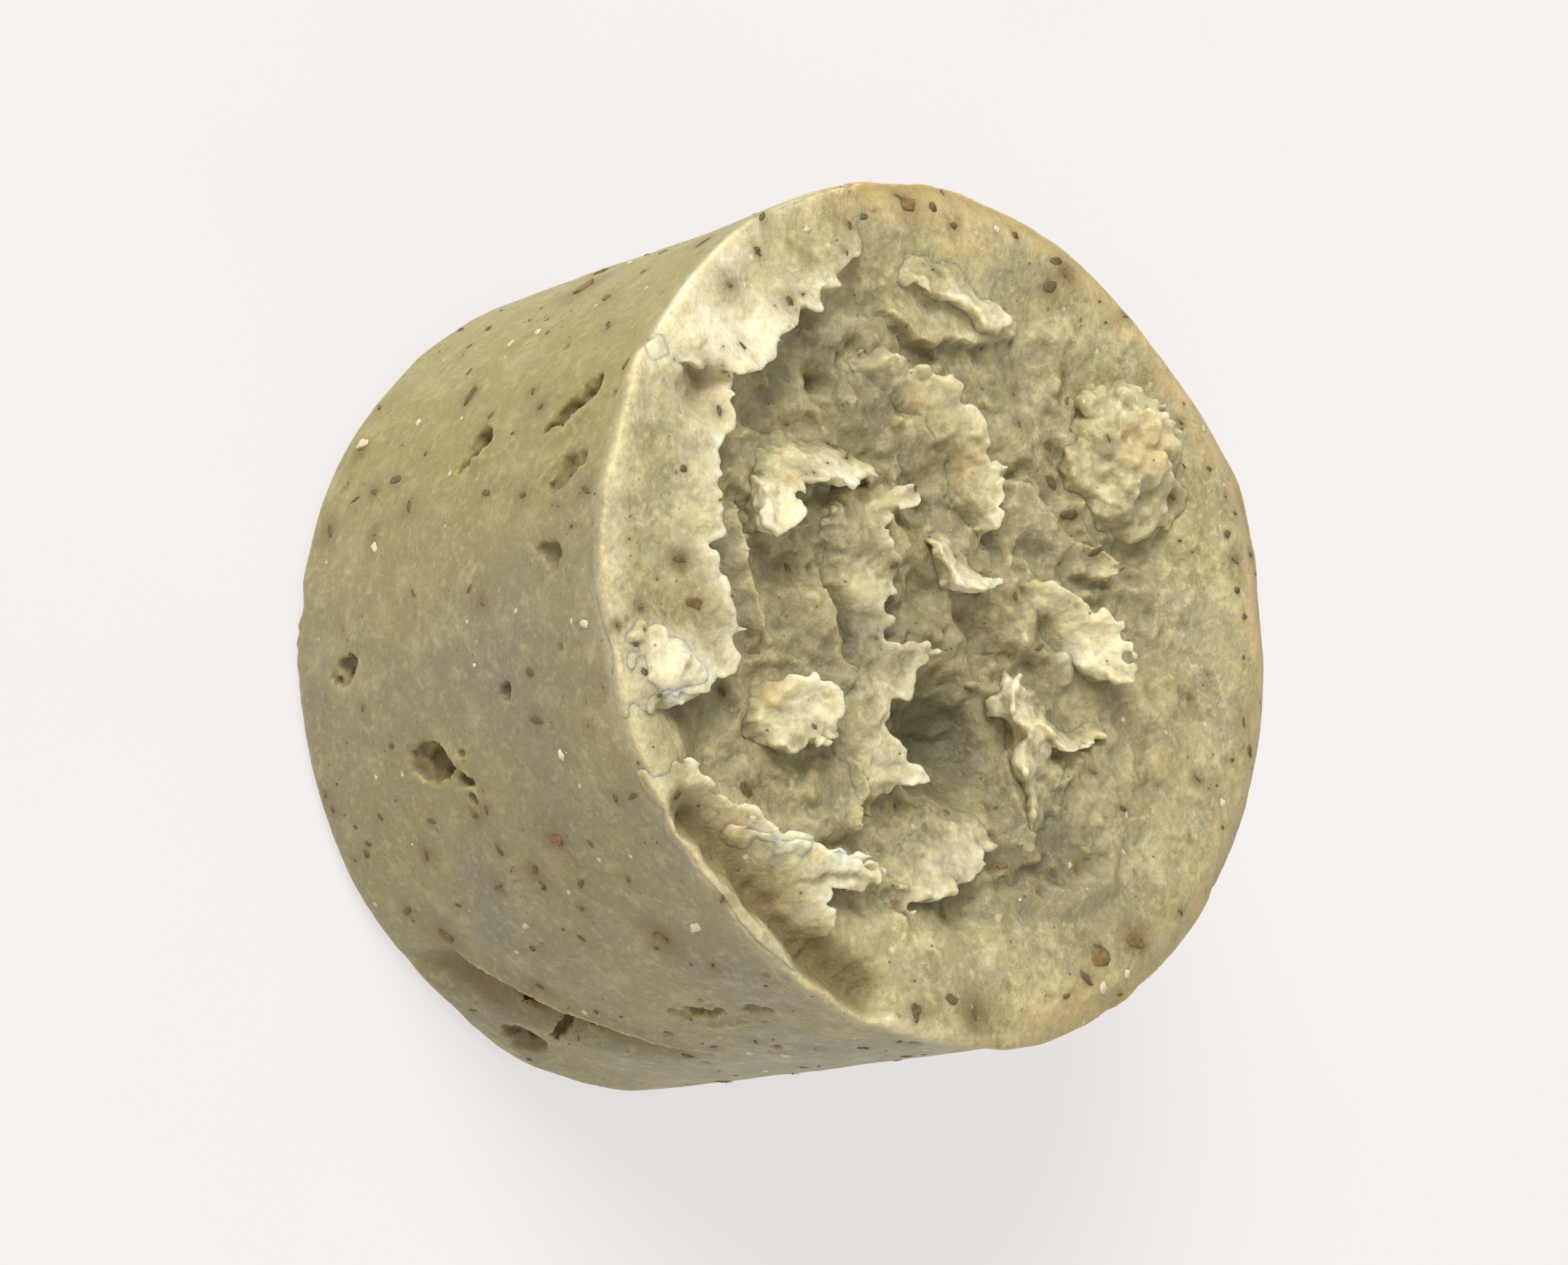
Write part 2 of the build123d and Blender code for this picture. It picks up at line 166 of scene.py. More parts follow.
# Ridges in the dish's own surface: rise, spread, path
GROUND_RIDGES = [
    (0.6, 3.6, [(-17, -3), (-14, 0.6), (-11, 3.6), (-8, 4.6)]),
    (0.7, 1.8, [(20.5, 9.5), (22.6, 7.6), (23.4, 4), (22.2, 0)]),
    (0.7, 1.4, [(10, 19.6), (10.9, 19)]),
    (0.6, 2.6, [(9.5, 16.2), (11, 17)]),
    (0.6, 2.8, [(18.5, 14), (20.5, 15.5)]),
    (0.8, 1.6, [(0.6, 3.6), (2.2, 5.4), (3.6, 6)]),
    (0.5, 2.6, [(13, 14.5), (16, 12), (18.5, 8)]),
    (0.6, 2.4, [(-12.5, 10.5), (-9, 12.5), (-6, 14.5)]),
    (0.7, 1.6, [(2.5, -22), (5, -22.6), (8, -22)]),
]

# Hollows in the dish's own surface: x, y, reach, depth
GROUND_HOLLOWS = [
    (9.8, -3, 7.6, 3.6), (8.4, -0.8, 3.6, 0.9), (-9, 2, 4, 1.5), (-8, -0.4, 2.6, 0.8), (6.4, -24, 4.4, 0.5),
    (-1.4, -2.2, 3.2, 1.5), (-19, -6.4, 1.8, 1.6), (-6.4, -15.6, 2.6, 1.4), (-9.5, -18.6, 3.4, 0.8),
    (22.4, -6, 3, 1.3), (22.6, 0, 3, 0.8), (-21, -12, 3.2, 0.9), (-1, 19.5, 3.2, 0.9), (4.4, -28.9, 4.2, -0.8),
    (-16.5, 1.2, 2.8, 0.7), (3.6, 9.2, 1.8, 0.9), (14.4, 0.8, 1.8, 0.7), (-18.6, 6.8, 3, 0.6),
]

# Valleys between the rim and the torn edges of its flaps: depth, spread, path
VALLEYS = [
    (1.5, 3, [(-20.4, -18.9), (-19.4, -19.9)]),
    (2.4, 2.9, [(9.6, -28.9), (12.6, -26.6), (17.2, -24), (21.3, -21.2), (24.9, -17.6)]),
]

# Torn layers: the soap slopes up to each torn edge (x, y, height over the dish's floor), then drops.
# "outside" closes the outline on the far side of the slope, and "reach" is how wide the slope is.
GROUND_LAYERS = [
    {"torn": [(-23.4, -0.4, 1.2), (-21.4, 1.8, 1.5), (-19.3, 4.2, 1.6), (-20, 6.2, 1.5), (-19.4, 8.2, 1.5),
      (-18.9, 11.6, 1.3), (-19.2, 14.6, 0.8)],
     "outside": [(-24.5, 16), (-28, 8), (-28, 0)], "reach": 8},
    {"torn": [(-5, -10.8, 0.9), (-3.7, -11.6, 1.3), (-1, -12, 1.4), (1, -11.8, 1.4), (2.6, -11, 1.2),
      (4.3, -10.8, 0.8)],
     "outside": [(4, -15), (-1, -16.8), (-6, -15.6)], "reach": 4.5},
    {"torn": [(-12, -17.3, 0.9), (-8, -18.2, 1.3), (-5.4, -18.4, 1.3), (-3, -18, 1.2), (-0.6, -18.4, 0.9)],
     "outside": [(-0.4, -22), (-11.6, -21.5)], "reach": 4},
    {"torn": [(-8.8, 8, 1.1), (-7.6, 10.3, 1.7), (-5.5, 11, 1.5), (-3, 12.8, 1.4), (-1.4, 15.2, 1.7),
      (-0.3, 16.8, 2), (0.6, 16.4, 1.7), (0.5, 14, 1.3), (-0.4, 11.8, 0.9)],
     "outside": [(-2.6, 9.4), (-6, 6.6)], "reach": 4},
    {"torn": [(19.4, -12.6, 1), (21.2, -12, 1.5), (23.2, -12, 1.5), (24.8, -13, 1)],
     "outside": [(25.6, -16), (22, -18.4), (19.2, -16.4)], "reach": 5.5},
    {"torn": [(12.6, 10.2, 0.7), (14, 9.2, 0.9), (15.2, 7.2, 0.9), (16.4, 6.6, 0.6)],
     "outside": [(14.8, 5), (12.4, 7.4)], "reach": 3},
    {"torn": [(8.2, -13, 0.7), (10.6, -12.6, 0.9), (13.4, -13.4, 1), (14.6, -15.2, 0.7)],
     "outside": [(13, -17.5), (9, -17)], "reach": 4},
    {"torn": [(-24.6, 13, 0.9), (-22.8, 14.6, 1.2), (-21.6, 16.4, 1)],
     "outside": [(-23.6, 18.4), (-26.2, 15.4)], "reach": 3.5},
]

# The wall's main layer ends in a torn line near the base: azimuth and height along the line
LAP_LINE = [
    (-62, 7.6), (-58.6, 9.3), (-54.5, 11.4), (-51, 12.8), (-47.5, 14.2), (-43, 16.8), (-39, 18.6), (-34, 20.2),
    (-28, 21.2),
]
LAP_DEPTH = 1.8

# Holes in the wall: azimuth, height, half width, half height, depth, lean in degrees
WALL_PITS = [
    (-130.9, 35.9, 1.05, 1.9, 1.7, 28), (-129, 33.9, 0.95, 1.9, 1.6, 28), (-127.4, 32.2, 0.55, 1.2, 1.1, 28),
    (-128.9, 23.3, 1.25, 1.35, 2.1, 20), (-126.6, 22, 1.05, 0.75, 1.3, 20), (-125.2, 21.4, 0.7, 0.45, 0.8, 20),
    (-119.4, 36.2, 0.9, 2.4, 0.6, 30), (-109.4, 34.9, 0.75, 1.6, 1.1, -18), (-107.6, 35.6, 0.9, 0.6, 0.8, 0),
    (-101.8, 8.2, 0.9, 1.5, 1.5, 0), (-100.4, 7.6, 1.5, 1.3, 0.7, 0), (-93.6, 28.3, 0.75, 0.7, 0.7, 0),
    (-86.8, 17.3, 1.6, 2.6, 2.3, -6), (-84, 20.4, 0.6, 1.7, 0.6, -32), (-42.2, 27.4, 0.75, 3.1, 0.7, -8),
    (-41, 33.4, 0.45, 1.5, 0.6, -8), (-46.4, 12.6, 1.2, 1.5, 1.7, 0), (-42.6, 10.2, 0.6, 2.6, 1.5, 24),
    (-42.3, 4.9, 2.2, 1.5, 1.6, 0), (-40.9, 4.4, 0.7, 0.7, 2.6, 0), (-50.5, 9.6, 2.6, 0.8, 0.8, -20),
    (20, 27, 1.3, 1.8, 1.4, 20), (58, 13, 1, 1.6, 1.1, -15), (104, 31, 1.5, 1.3, 1.5, 0),
    (139, 17.5, 1, 2.4, 1.3, 30), (171, 33, 0.9, 1.1, 1, 0), (-5, 15, 0.8, 1.7, 0.9, 12),
]
# Chips and smears that stand out from the wall: azimuth, height, half width, half height, rise, lean in degrees
WALL_SMEARS = [
    (-86.4, 20.9, 0.7, 2, 0.42, -34), (-82, 21.4, 1.2, 1.6, 0.3, -20), (-125.6, 23.9, 0.9, 0.8, 0.35, 20),
    (-126.4, 35.2, 0.35, 2.4, 0.3, 28), (-121.6, 35.4, 0.3, 2.4, 0.3, 30), (-47.5, 8.6, 1.8, 0.9, 0.45, -15),
    (-39.6, 12.4, 1.2, 1.4, 0.4, 30), (-38.8, 27.6, 0.3, 3.2, 0.35, -10), (-102.6, 39, 0.7, 0.6, 0.3, 0),
    (-99.6, 38.4, 0.7, 0.8, 0.3, 0), (-135, 4, 1.4, 1, 0.4, 10), (-148, 20.5, 0.5, 1.6, 0.2, 30),
    (-108, 1.6, 1.6, 1, 0.2, 0), (-99, 5.2, 1.2, 1.2, 0.25, 0),
]
PINHOLES = 70
PINHOLE_SHAPE = (1, 1.3, 0.9)


def blob(x, y, centre_x, centre_y, reach):
    """1 at a place in plan, falling smoothly to 0 at reach from it."""
    return smooth_step(reach, 0, np.hypot(x - centre_x, y - centre_y))


def roughness_in_plan(x, y):
    """How ragged the dish is: 1 in its middle, less where the paste was smoothed, 0 on the rim."""
    ragged = smooth_step(28.5, 20, np.hypot(x, y))
    return ragged * (1 - 0.75 * blob(x, y, 14, 21, 17)) * (1 - 0.4 * blob(x, y, -13, 11, 7))


def rim_height(x, y):
    """Height of the rim's surface, and of the flaps that continue it."""
    return RIM_Z - 0.3 + 0.3 * noise(x, y, 3, 15, 2, 3) + 0.12 * noise(x, y, 3, 4.5, 2, 1)


def torn_places(x, y):
    """Places in plan shaken, so that edges drawn with straight lines turn out torn."""
    fine = 0.1 + 0.4 * smooth_step(-0.3, 0.5, noise(x, y, 6, 4.5, 1, 0))
    return (x + 0.75 * noise(x, y, 0, 3.0, 2, 1) + fine * noise(x, y, 5, 1.1, 2, 3),
            y + 0.75 * noise(x, y, 9, 3.0, 2, 2) + fine * noise(x, y, 7, 1.1, 2, 0))


def outline_of(layer):
    """A torn layer's closed outline, and its back: the outline's part between the ends of the torn edge."""
    torn = [point[:2] for point in layer["torn"]]
    return torn + layer["outside"], [torn[-1], *layer["outside"], torn[0]]


def layer_top(layer, x, y, under):
    """A torn layer's height, sloping up from its back to its torn edge, and the distance to its outline."""
    torn = layer["torn"]
    outline, back_path = outline_of(layer)
    edge, _ = along(torn, x, y)
    border = inside(outline, x, y)
    back, _ = along(back_path, x, y)
    weights = [1 / ((x - px) ** 2 + (y - py) ** 2 + 0.3) ** 1.5 for px, py, _ in torn]
    level = sum(weight * height for weight, (_, _, height) in zip(weights, torn)) / sum(weights)
    share = np.clip(1 - edge / layer["reach"], 0, 1) ** 1.1 * smooth_step(0, 1.6, back)
    rise = np.maximum(FLOOR_Z + level - under, 0.15)
    return under + rise * share + layer.get("curl", 0.2) * share * np.exp(-edge / 0.7), border


def valleys(x, y):
    """How deep the valleys along the rim are."""
    return sum(depth * smooth_step(spread, 0, along(path, x, y)[0]) for depth, spread, path in VALLEYS)


def ground(x, y):
    """Height of the soap's own top, under the lumps and flaps, at places in plan."""
    warp_x, warp_y = torn_places(x, y)
    reach = np.hypot(x, y)
    azimuth = np.degrees(np.arctan2(y, x))
    ragged = roughness_in_plan(x, y)
    smoothed = 1 - 0.5 * blob(x, y, 14, 21, 15)
    border = inside(DISH_OUTLINE, warp_x, warp_y)
    sides = smooth_step(58, 85, np.abs((azimuth + 290) % 360 - 180))
    top = rim_height(x, y) - DISH_DEPTH * smoothed * smooth_step(1.2 + 2.5 * sides, -3.2 - 4.5 * sides, border)
    for rise, spread, path in GROUND_RIDGES:
        distance, _ = along(path, warp_x, warp_y)
        top = top + rise * smooth_step(spread, 0, distance)
    for hollow_x, hollow_y, spread, depth in GROUND_HOLLOWS:
        top = top - depth * blob(warp_x, warp_y, hollow_x, hollow_y, spread)
    top = top - valleys(warp_x, warp_y)
    peeled = 1.5 * terraces(noise(warp_x, warp_y, 0, 6.0, 3, 2), 1.6)
    peeled = peeled + 0.9 * terraces(noise(warp_x, warp_y, 7, 2.8, 3, 1), 1.6)
    top = top + ragged * (peeled + 0.45 + 0.35 * noise(x, y, 1, 2.4, 2, 1) + 0.25 * noise(x, y, 4, 1.2, 2, 3))
    for layer in GROUND_LAYERS:
        level, edge = layer_top(layer, warp_x, warp_y, top)
        top = top + (level - top) * smooth_step(0.15, -0.15, edge)
    front = smooth_step(20, -25, azimuth) * smooth_step(-190, -165, azimuth)
    back = 1 - front
    top = top - back * 1.5 * smooth_step(RIM_RADIUS - 4.5, RIM_RADIUS + 0.8, reach) ** 2
    burr = smooth_step(-0.1, 0.5, noise(x, y, 0, 5.0, 3, 3)) * front
    return top + 0.22 * burr * np.exp(-(((reach - RIM_RADIUS + 0.7) / 0.7) ** 2))


def base_circle(azimuth):
    """The places in plan under the wall at azimuths in degrees."""
    turn = np.radians(azimuth)
    return BASE_RADIUS * np.cos(turn), BASE_RADIUS * np.sin(turn)


def lap(azimuth, z):
    """How much the wall's lap shows at an azimuth, and how far a place lies beneath the lap's torn line."""
    x, y = base_circle(azimuth)
    line = np.interp(azimuth, *np.array(LAP_LINE).T) + 0.45 * noise(x, y, z, 2.4, 3, 1)
    return smooth_step(-63, -57, azimuth) * smooth_step(-28, -38, azimuth), line - z


def wall_radius(azimuth, z):
    """Radius of the wall at azimuths in degrees and heights."""
    x, y = base_circle(azimuth)
    radius = BASE_RADIUS + (RIM_RADIUS - BASE_RADIUS) * z / RIM_Z
    for depth, wave, seed in ((0.32, 20, 1), (0.16, 6, 2), (0.04, 1.8, 0)):
        radius = radius + depth * noise(x, y, z, wave, 2, seed)
    radius = radius - 0.1 * np.maximum(noise(x * 1.6, y * 1.6, z * 0.25, 2.6, 2, 3) - 0.15, 0)
    upper = smooth_step(28, RIM_Z, z)
    for rise, middle, spread in ((-1.5, 122, 15), (1.1, 97, 9)):
        radius = radius + rise * upper * np.exp(-(((azimuth - middle) / spread) ** 2))
    span, beneath = lap(azimuth, z)
    radius = radius - LAP_DEPTH * span * smooth_step(0, 0.3, beneath) * smooth_step(9.0, 3.0, beneath)
    radius = radius + 0.45 * span * np.exp(-((beneath / 1.4) ** 2)) * smooth_step(0.4, 0, beneath)
    bulge = smooth_step(-52, -40, azimuth) * smooth_step(-8, -24, azimuth) * smooth_step(7, 1.5, z)
    notch = smooth_step(-116, -110, azimuth) * smooth_step(-104, -108, azimuth) * smooth_step(2.4, 0.4, z)
    lip = smooth_step(RIM_Z - 2.6, RIM_Z - 1.6, z + noise(x, y, 2, 3.0, 2, 0))
    lip = lip * smooth_step(0.0, 0.3, noise(x, y, 8, 7.0, 2, 3))
    return radius + 0.5 * bulge - 1.0 * notch + 0.3 * lip


def grid_axes(low, high, step):
    """The places of a grid's planes along each axis."""
    return [np.arange(a, b + step, step, dtype=np.float32) for a, b in zip(low, high)]


def shape_wall(field, axes, spots, rough, raised):
    """Cuts egg-shaped holes with uneven edges into a field, or adds egg-shaped smears to it."""
    for azimuth, height, half_width, half_height, depth, lean in spots:
        turn = math.radians(azimuth)
        radius = float(wall_radius(np.array([azimuth]), np.array([height]))[0])
        middle = (radius * math.cos(turn), radius * math.sin(turn), height)
        reach = max(half_width, half_height, depth) + 1.5
        window = tuple(slice(*np.searchsorted(axis, (c - reach, c + reach))) for axis, c in zip(axes, middle))
        x, y, z = np.meshgrid(*[axis[w] for axis, w in zip(axes, window)], indexing="ij")
        warps = [rough * noise(x, y, z, 0.95, 3, seed) for seed in range(3)]
        x, y, z = (p - c + w for p, c, w in zip((x, y, z), middle, warps))
        out = x * math.cos(turn) + y * math.sin(turn)
        side = y * math.cos(turn) - x * math.sin(turn)
        tilt = math.radians(lean)
        across = side * math.cos(tilt) + z * math.sin(tilt)
        up = z * math.cos(tilt) - side * math.sin(tilt)
        shape = np.sqrt((across / half_width) ** 2 + (up / half_height) ** 2 + (out / depth) ** 2)
        egg = (shape - 1) * min(half_width, half_height, depth)
        part = field[window]
        field[window] = -smooth_max(-part, -egg, 0.35) if raised else np.maximum(part, -egg)


def body_field(step):
    """The field of the cast body on a grid."""
    low, high = (-BODY_GRID_HALF, -BODY_GRID_HALF, -0.9), (BODY_GRID_HALF, BODY_GRID_HALF, RIM_Z + 1.6)
    axes = grid_axes(low, high, step)
    x, y = np.meshgrid(axes[0], axes[1], indexing="ij")
    top = ground(x, y)
    reach = np.hypot(x, y)
    azimuth = np.degrees(np.arctan2(y, x))
    ring = np.linspace(-180, 180, 4 * 360 + 1)
    turns, heights = np.meshgrid(ring, axes[2], indexing="ij")
    table = wall_radius(turns, heights)
    field = np.empty([len(axis) for axis in axes], np.float32)
    for k, z in enumerate(axes[2]):
        wall = reach - np.interp(azimuth, ring, table[:, k])
        field[:, :, k] = smooth_max(smooth_max(wall, -z, 2.2), z - top, 0.35)
    near = np.nonzero((np.abs(field) < 1.4) & (axes[2] > 1.5))
    px, py, pz = (axis[i] for axis, i in zip(axes, near))
    ragged = roughness_in_plan(px, py) * smooth_step(RIM_Z - 8, RIM_Z - 5, pz)
    lumps = noise(px, py, pz, 1.8, 2, 0) + 0.75 * noise(px, py, pz, 0.95, 1, 3)
    field[near] += ragged * 0.3 * lumps - 0.03 * noise(px, py, pz, 1.0, 2, 2)
    rng = np.random.default_rng(5)
    pinholes = []
    for _ in range(PINHOLES):
        azimuth, height = rng.uniform(-180, 180), rng.uniform(2, 41)
        size = rng.uniform(0.18, 0.5) * np.array(PINHOLE_SHAPE)
        pinholes.append((azimuth, height, *size, rng.uniform(-40, 40)))
    shape_wall(field, axes, WALL_SMEARS, 0.35, True)
    shape_wall(field, axes, WALL_PITS, 0.75, False)
    shape_wall(field, axes, pinholes, 0.12, False)
    return field, axes


# ---------------------------------------------------------------- lumps and flaps of paste

# Each piece is made of torn layers, described as for the ground
PIECES = {
    "near_flap": [
        {"torn": [(-27.4, -0.4, 2.3), (-27, -3.7, 2.5), (-26, -4, 2.5), (-25.3, -6, 2.5), (-25, -7.1, 2.6),
          (-23.2, -7.6, 2.8), (-23.9, -9, 2.6), (-22.4, -9.8, 2.7), (-22.4, -12.3, 2.8), (-21.2, -12.7, 2.9),
          (-20.2, -13, 3), (-19.9, -14.6, 3.2), (-19.6, -15.9, 3.4), (-20.6, -18.2, 3.5), (-21.5, -20.2, 3.3),
          (-22, -21.6, 2.9)],
         "outside": [(-26, -24), (-32, -17), (-35, -8), (-35.5, 0.6)], "rim": True, "curl": 0.35},
        {"torn": [(-20.4, -16.6, 2), (-19.2, -17.2, 2.3), (-18.4, -17.5, 2.4), (-16.8, -17.5, 2.6),
          (-15.6, -19.8, 2.5), (-13.4, -20.6, 2.5), (-11.6, -20.9, 2.7), (-9.3, -21.4, 2.7), (-8.3, -23, 2.5),
          (-7.6, -22.4, 2.5), (-6, -22.4, 2.6), (-4, -22.2, 2.7), (-1.8, -21.4, 2.6), (-1.3, -22.8, 2.6),
          (0.5, -23.1, 2.7), (1.1, -24, 2.6), (0.5, -25.2, 2.5), (1.4, -26.4, 2.7), (1.6, -27.8, 2.8),
          (1, -29.4, 2.7), (1.9, -31.4, 2.5)],
         "outside": [(2.2, -35), (-6, -35.5), (-15, -33), (-24.6, -26), (-22.6, -20)],
         "rim": True, "curl": 0.3},
    ],
    "far_flap": [
        {"torn": [(5.6, -30, 2.2), (6.3, -28.3, 2.7), (7.4, -27.7, 2.7), (9, -26.1, 2.5), (10.6, -24.8, 2.5),
          (11.9, -23.1, 2.8), (13.2, -20.8, 2.8), (14.6, -18.8, 2.9), (16.2, -16.6, 2.9), (17.3, -15.2, 2.8),
          (18.2, -16.2, 2.4), (17.2, -19, 1.9), (18, -19.8, 2), (19.2, -18.9, 2.4), (20.5, -19.6, 2.4),
          (20.9, -21.2, 1.9)],
         "outside": [(24.6, -24.6), (16, -31.4), (5.6, -35.4)], "rim": True, "curl": 0.35},
    ],
    "torn_shelf": [
        {"torn": [(-10.8, -3.8, 1.3), (-9.2, -1.7, 1.7), (-8.2, -2.1, 1.8), (-8.2, -4, 1.6), (-7, -5, 1.5),
          (-5, -4.5, 1.8), (-3.4, -4.2, 1.9), (-2.8, -5.2, 1.7), (-1.7, -6.8, 1.6), (0, -6.5, 1.9),
          (1, -7.7, 1.6), (2, -6.1, 1.7), (2.6, -4.2, 2), (3.2, -3.4, 2.1), (4.4, -6.1, 1.9), (5.4, -6.6, 1.8),
          (5.4, -8.2, 1.7), (7, -9.2, 1.8), (9, -8.6, 2.1), (11.4, -8.2, 2.2), (12.1, -9.6, 1.9),
          (12.8, -11.2, 1.2)],
         "outside": [(11.6, -13.6), (7, -13.8), (2, -11.6), (-2, -11), (-5.6, -10.4), (-9.6, -9.4),
          (-11.6, -6.6)], "reach": 7.5, "curl": 0.25},
    ],
    "centre_curl": [
        {"torn": [(-13.4, -15.2, 2.4), (-11.8, -16.6, 2.7), (-9.2, -17.2, 2.8), (-8, -16.9, 3),
          (-7.7, -15.8, 3.1), (-8.6, -14.5, 3.1), (-10.2, -13.6, 3.2), (-11.7, -13.2, 3), (-11.2, -11.4, 3.5),
          (-10.5, -9, 3.5), (-10.4, -6.8, 3), (-10.9, -4.2, 2.1)],
         "outside": [(-12.6, -4.2), (-14.6, -7.4), (-15.8, -11), (-15.4, -14.6)], "reach": 5, "curl": 0.35},
    ],
    "centre_crest": [
        {"torn": [(-6, -0.6, 1.5), (-3.6, -0.9, 2.6), (-1.9, -0.9, 3), (-0.9, -0.2, 3), (-0.7, 1.6, 3.2),
          (-0.1, 3.2, 3.4), (-0.6, 4.3, 3.4), (-1.8, 3.7, 3)],
         "outside": [(-3, 3.3), (-4.8, 2.8), (-6.6, 1.2)], "reach": 3.4, "curl": 0.3},
    ],
    "wedge_shard": [
        {"torn": [(-1.4, 8.4, 1.8), (0.3, 10.6, 2.8), (2.3, 12.6, 3.5), (4.1, 13.7, 3.9), (5.8, 14.1, 4.1),
          (7.3, 14.1, 4.2), (9.2, 14.5, 4), (8.7, 12.6, 3.4), (7.4, 11.4, 2.7), (5.6, 10.5, 2.2)],
         "outside": [(3.4, 8.8), (1.4, 7.7), (-0.8, 7)], "reach": 4.4, "curl": 0.15},
    ],
    "hollow_clump": [
        {"torn": [(5.4, 4.6, 2.2), (6, 2.8, 3), (7.2, 1.5, 3.4), (9, 1.4, 3.3), (9.9, 2.9, 2.8), (11.6, 2.1, 2),
          (13.2, 1.8, 1.7), (15, 2.3, 1.5), (16.8, 1.9, 1.4), (18.4, 2, 1)],
         "outside": [(18.4, 6.6), (15, 8.6), (11.4, 8.4), (9.2, 8), (6.8, 7.6)], "reach": 5.2, "curl": 0.1},
        {"torn": [(9.5, 3.6, 2.7), (10.6, 5, 2.5), (12.6, 6.3, 2.3), (13.1, 8.3, 2.1), (12.7, 10.6, 1.5),
          (12.1, 13.2, 0.9)],
         "outside": [(10.6, 12.6), (10.4, 9.4), (9, 7.4), (7.8, 6)], "reach": 3, "curl": 0.25},
    ],
    "lower_peak": [
        {"torn": [(5.5, -20.5, 1.3), (6.9, -19.9, 1.8), (8.1, -18.3, 2), (7.7, -16.6, 2.6), (7.4, -14.6, 2.9),
          (7.1, -13.7, 2.6), (5.4, -14.5, 3.3), (4, -14.2, 3.4), (2.6, -14.8, 3.2), (1.8, -16.4, 2.7),
          (1.4, -18.8, 1.7)],
         "outside": [(2.6, -21.2), (4.4, -21.8)], "reach": 5.4, "curl": 0.25},
    ],
    "side_ridge": [
        {"torn": [(21, -12.8, 1.1), (20.2, -9.6, 1.6), (19.8, -7.4, 1.9), (20, -5.6, 2.1), (18.9, -4.2, 2.2),
          (18.2, -2.6, 2), (17.4, -1.2, 1.4)],
         "outside": [(15.2, -1.6), (13.6, -6), (14.6, -10.6), (17.2, -14)], "reach": 5.5, "curl": 0.25},
    ],
    "diagonal_ridge": [
        {"torn": [(9.8, -26.6, 2.5), (11.6, -24.6, 3.1), (13.2, -22.4, 3.4), (14.6, -19, 3.5),
          (15.6, -16.6, 3.4), (16.2, -14.7, 3.3), (17.3, -14.9, 3), (17.7, -16.1, 2.5)],
         "outside": [(17.8, -18.8), (17, -22), (15, -25), (12, -27.8)], "reach": 4.2, "curl": 0.2},
    ],
    "left_shred": [
        {"torn": [(-25.2, 1.8, 1.6), (-24.2, 3.6, 2.3), (-23.2, 4.3, 2.4), (-22.6, 6.4, 2.6), (-21.3, 7.7, 2.9),
          (-20, 8.5, 3), (-19.7, 9.8, 3), (-20.3, 11.1, 2.8), (-21.6, 11.3, 2.4), (-22.6, 10.8, 1.8)],
         "outside": [(-24.4, 9.8), (-26.6, 6.6), (-27, 3)], "reach": 4, "curl": 0.25},
    ],
    "arched_ridge": [
        {"torn": [(-22.8, -6.2, 2.6), (-20.6, -7.3, 3.1), (-19.8, -6.3, 3.3), (-20.6, -5, 3.2),
          (-19.9, -4.5, 3.4), (-20.1, -2.7, 3.4), (-21, -1.4, 3), (-20.4, 0.2, 2.5), (-20.8, 1.2, 1.9)],
         "outside": [(-23.6, 0.6), (-25.2, -2.4), (-24.6, -5.4)], "reach": 4.4, "curl": 0.3},
        {"torn": [(-21, -0.6, 1.6), (-19.4, 1.2, 2), (-18.4, 2.7, 2.2), (-17.4, 3.4, 2.2), (-16.4, 4.3, 2.3),
          (-15.2, 5.5, 2.5), (-14.8, 6.5, 2.5), (-13.6, 6.6, 2.3), (-12.3, 6.9, 2.3), (-11, 7.2, 2.2),
          (-9.8, 7.9, 2.4), (-8.8, 6.8, 2), (-7.8, 6.7, 1.9), (-7.2, 5.9, 1.8), (-6.1, 6.1, 1.8),
          (-5, 5.2, 1.4), (-4.2, 4.2, 0.8)],
         "outside": [(-7, 3.2), (-10.6, 3.4), (-13.8, 1.6), (-16.8, -1), (-19.4, -3.4)],
         "reach": 5, "curl": 0.2},
    ],
}

FLAPS = ("near_flap", "far_flap")

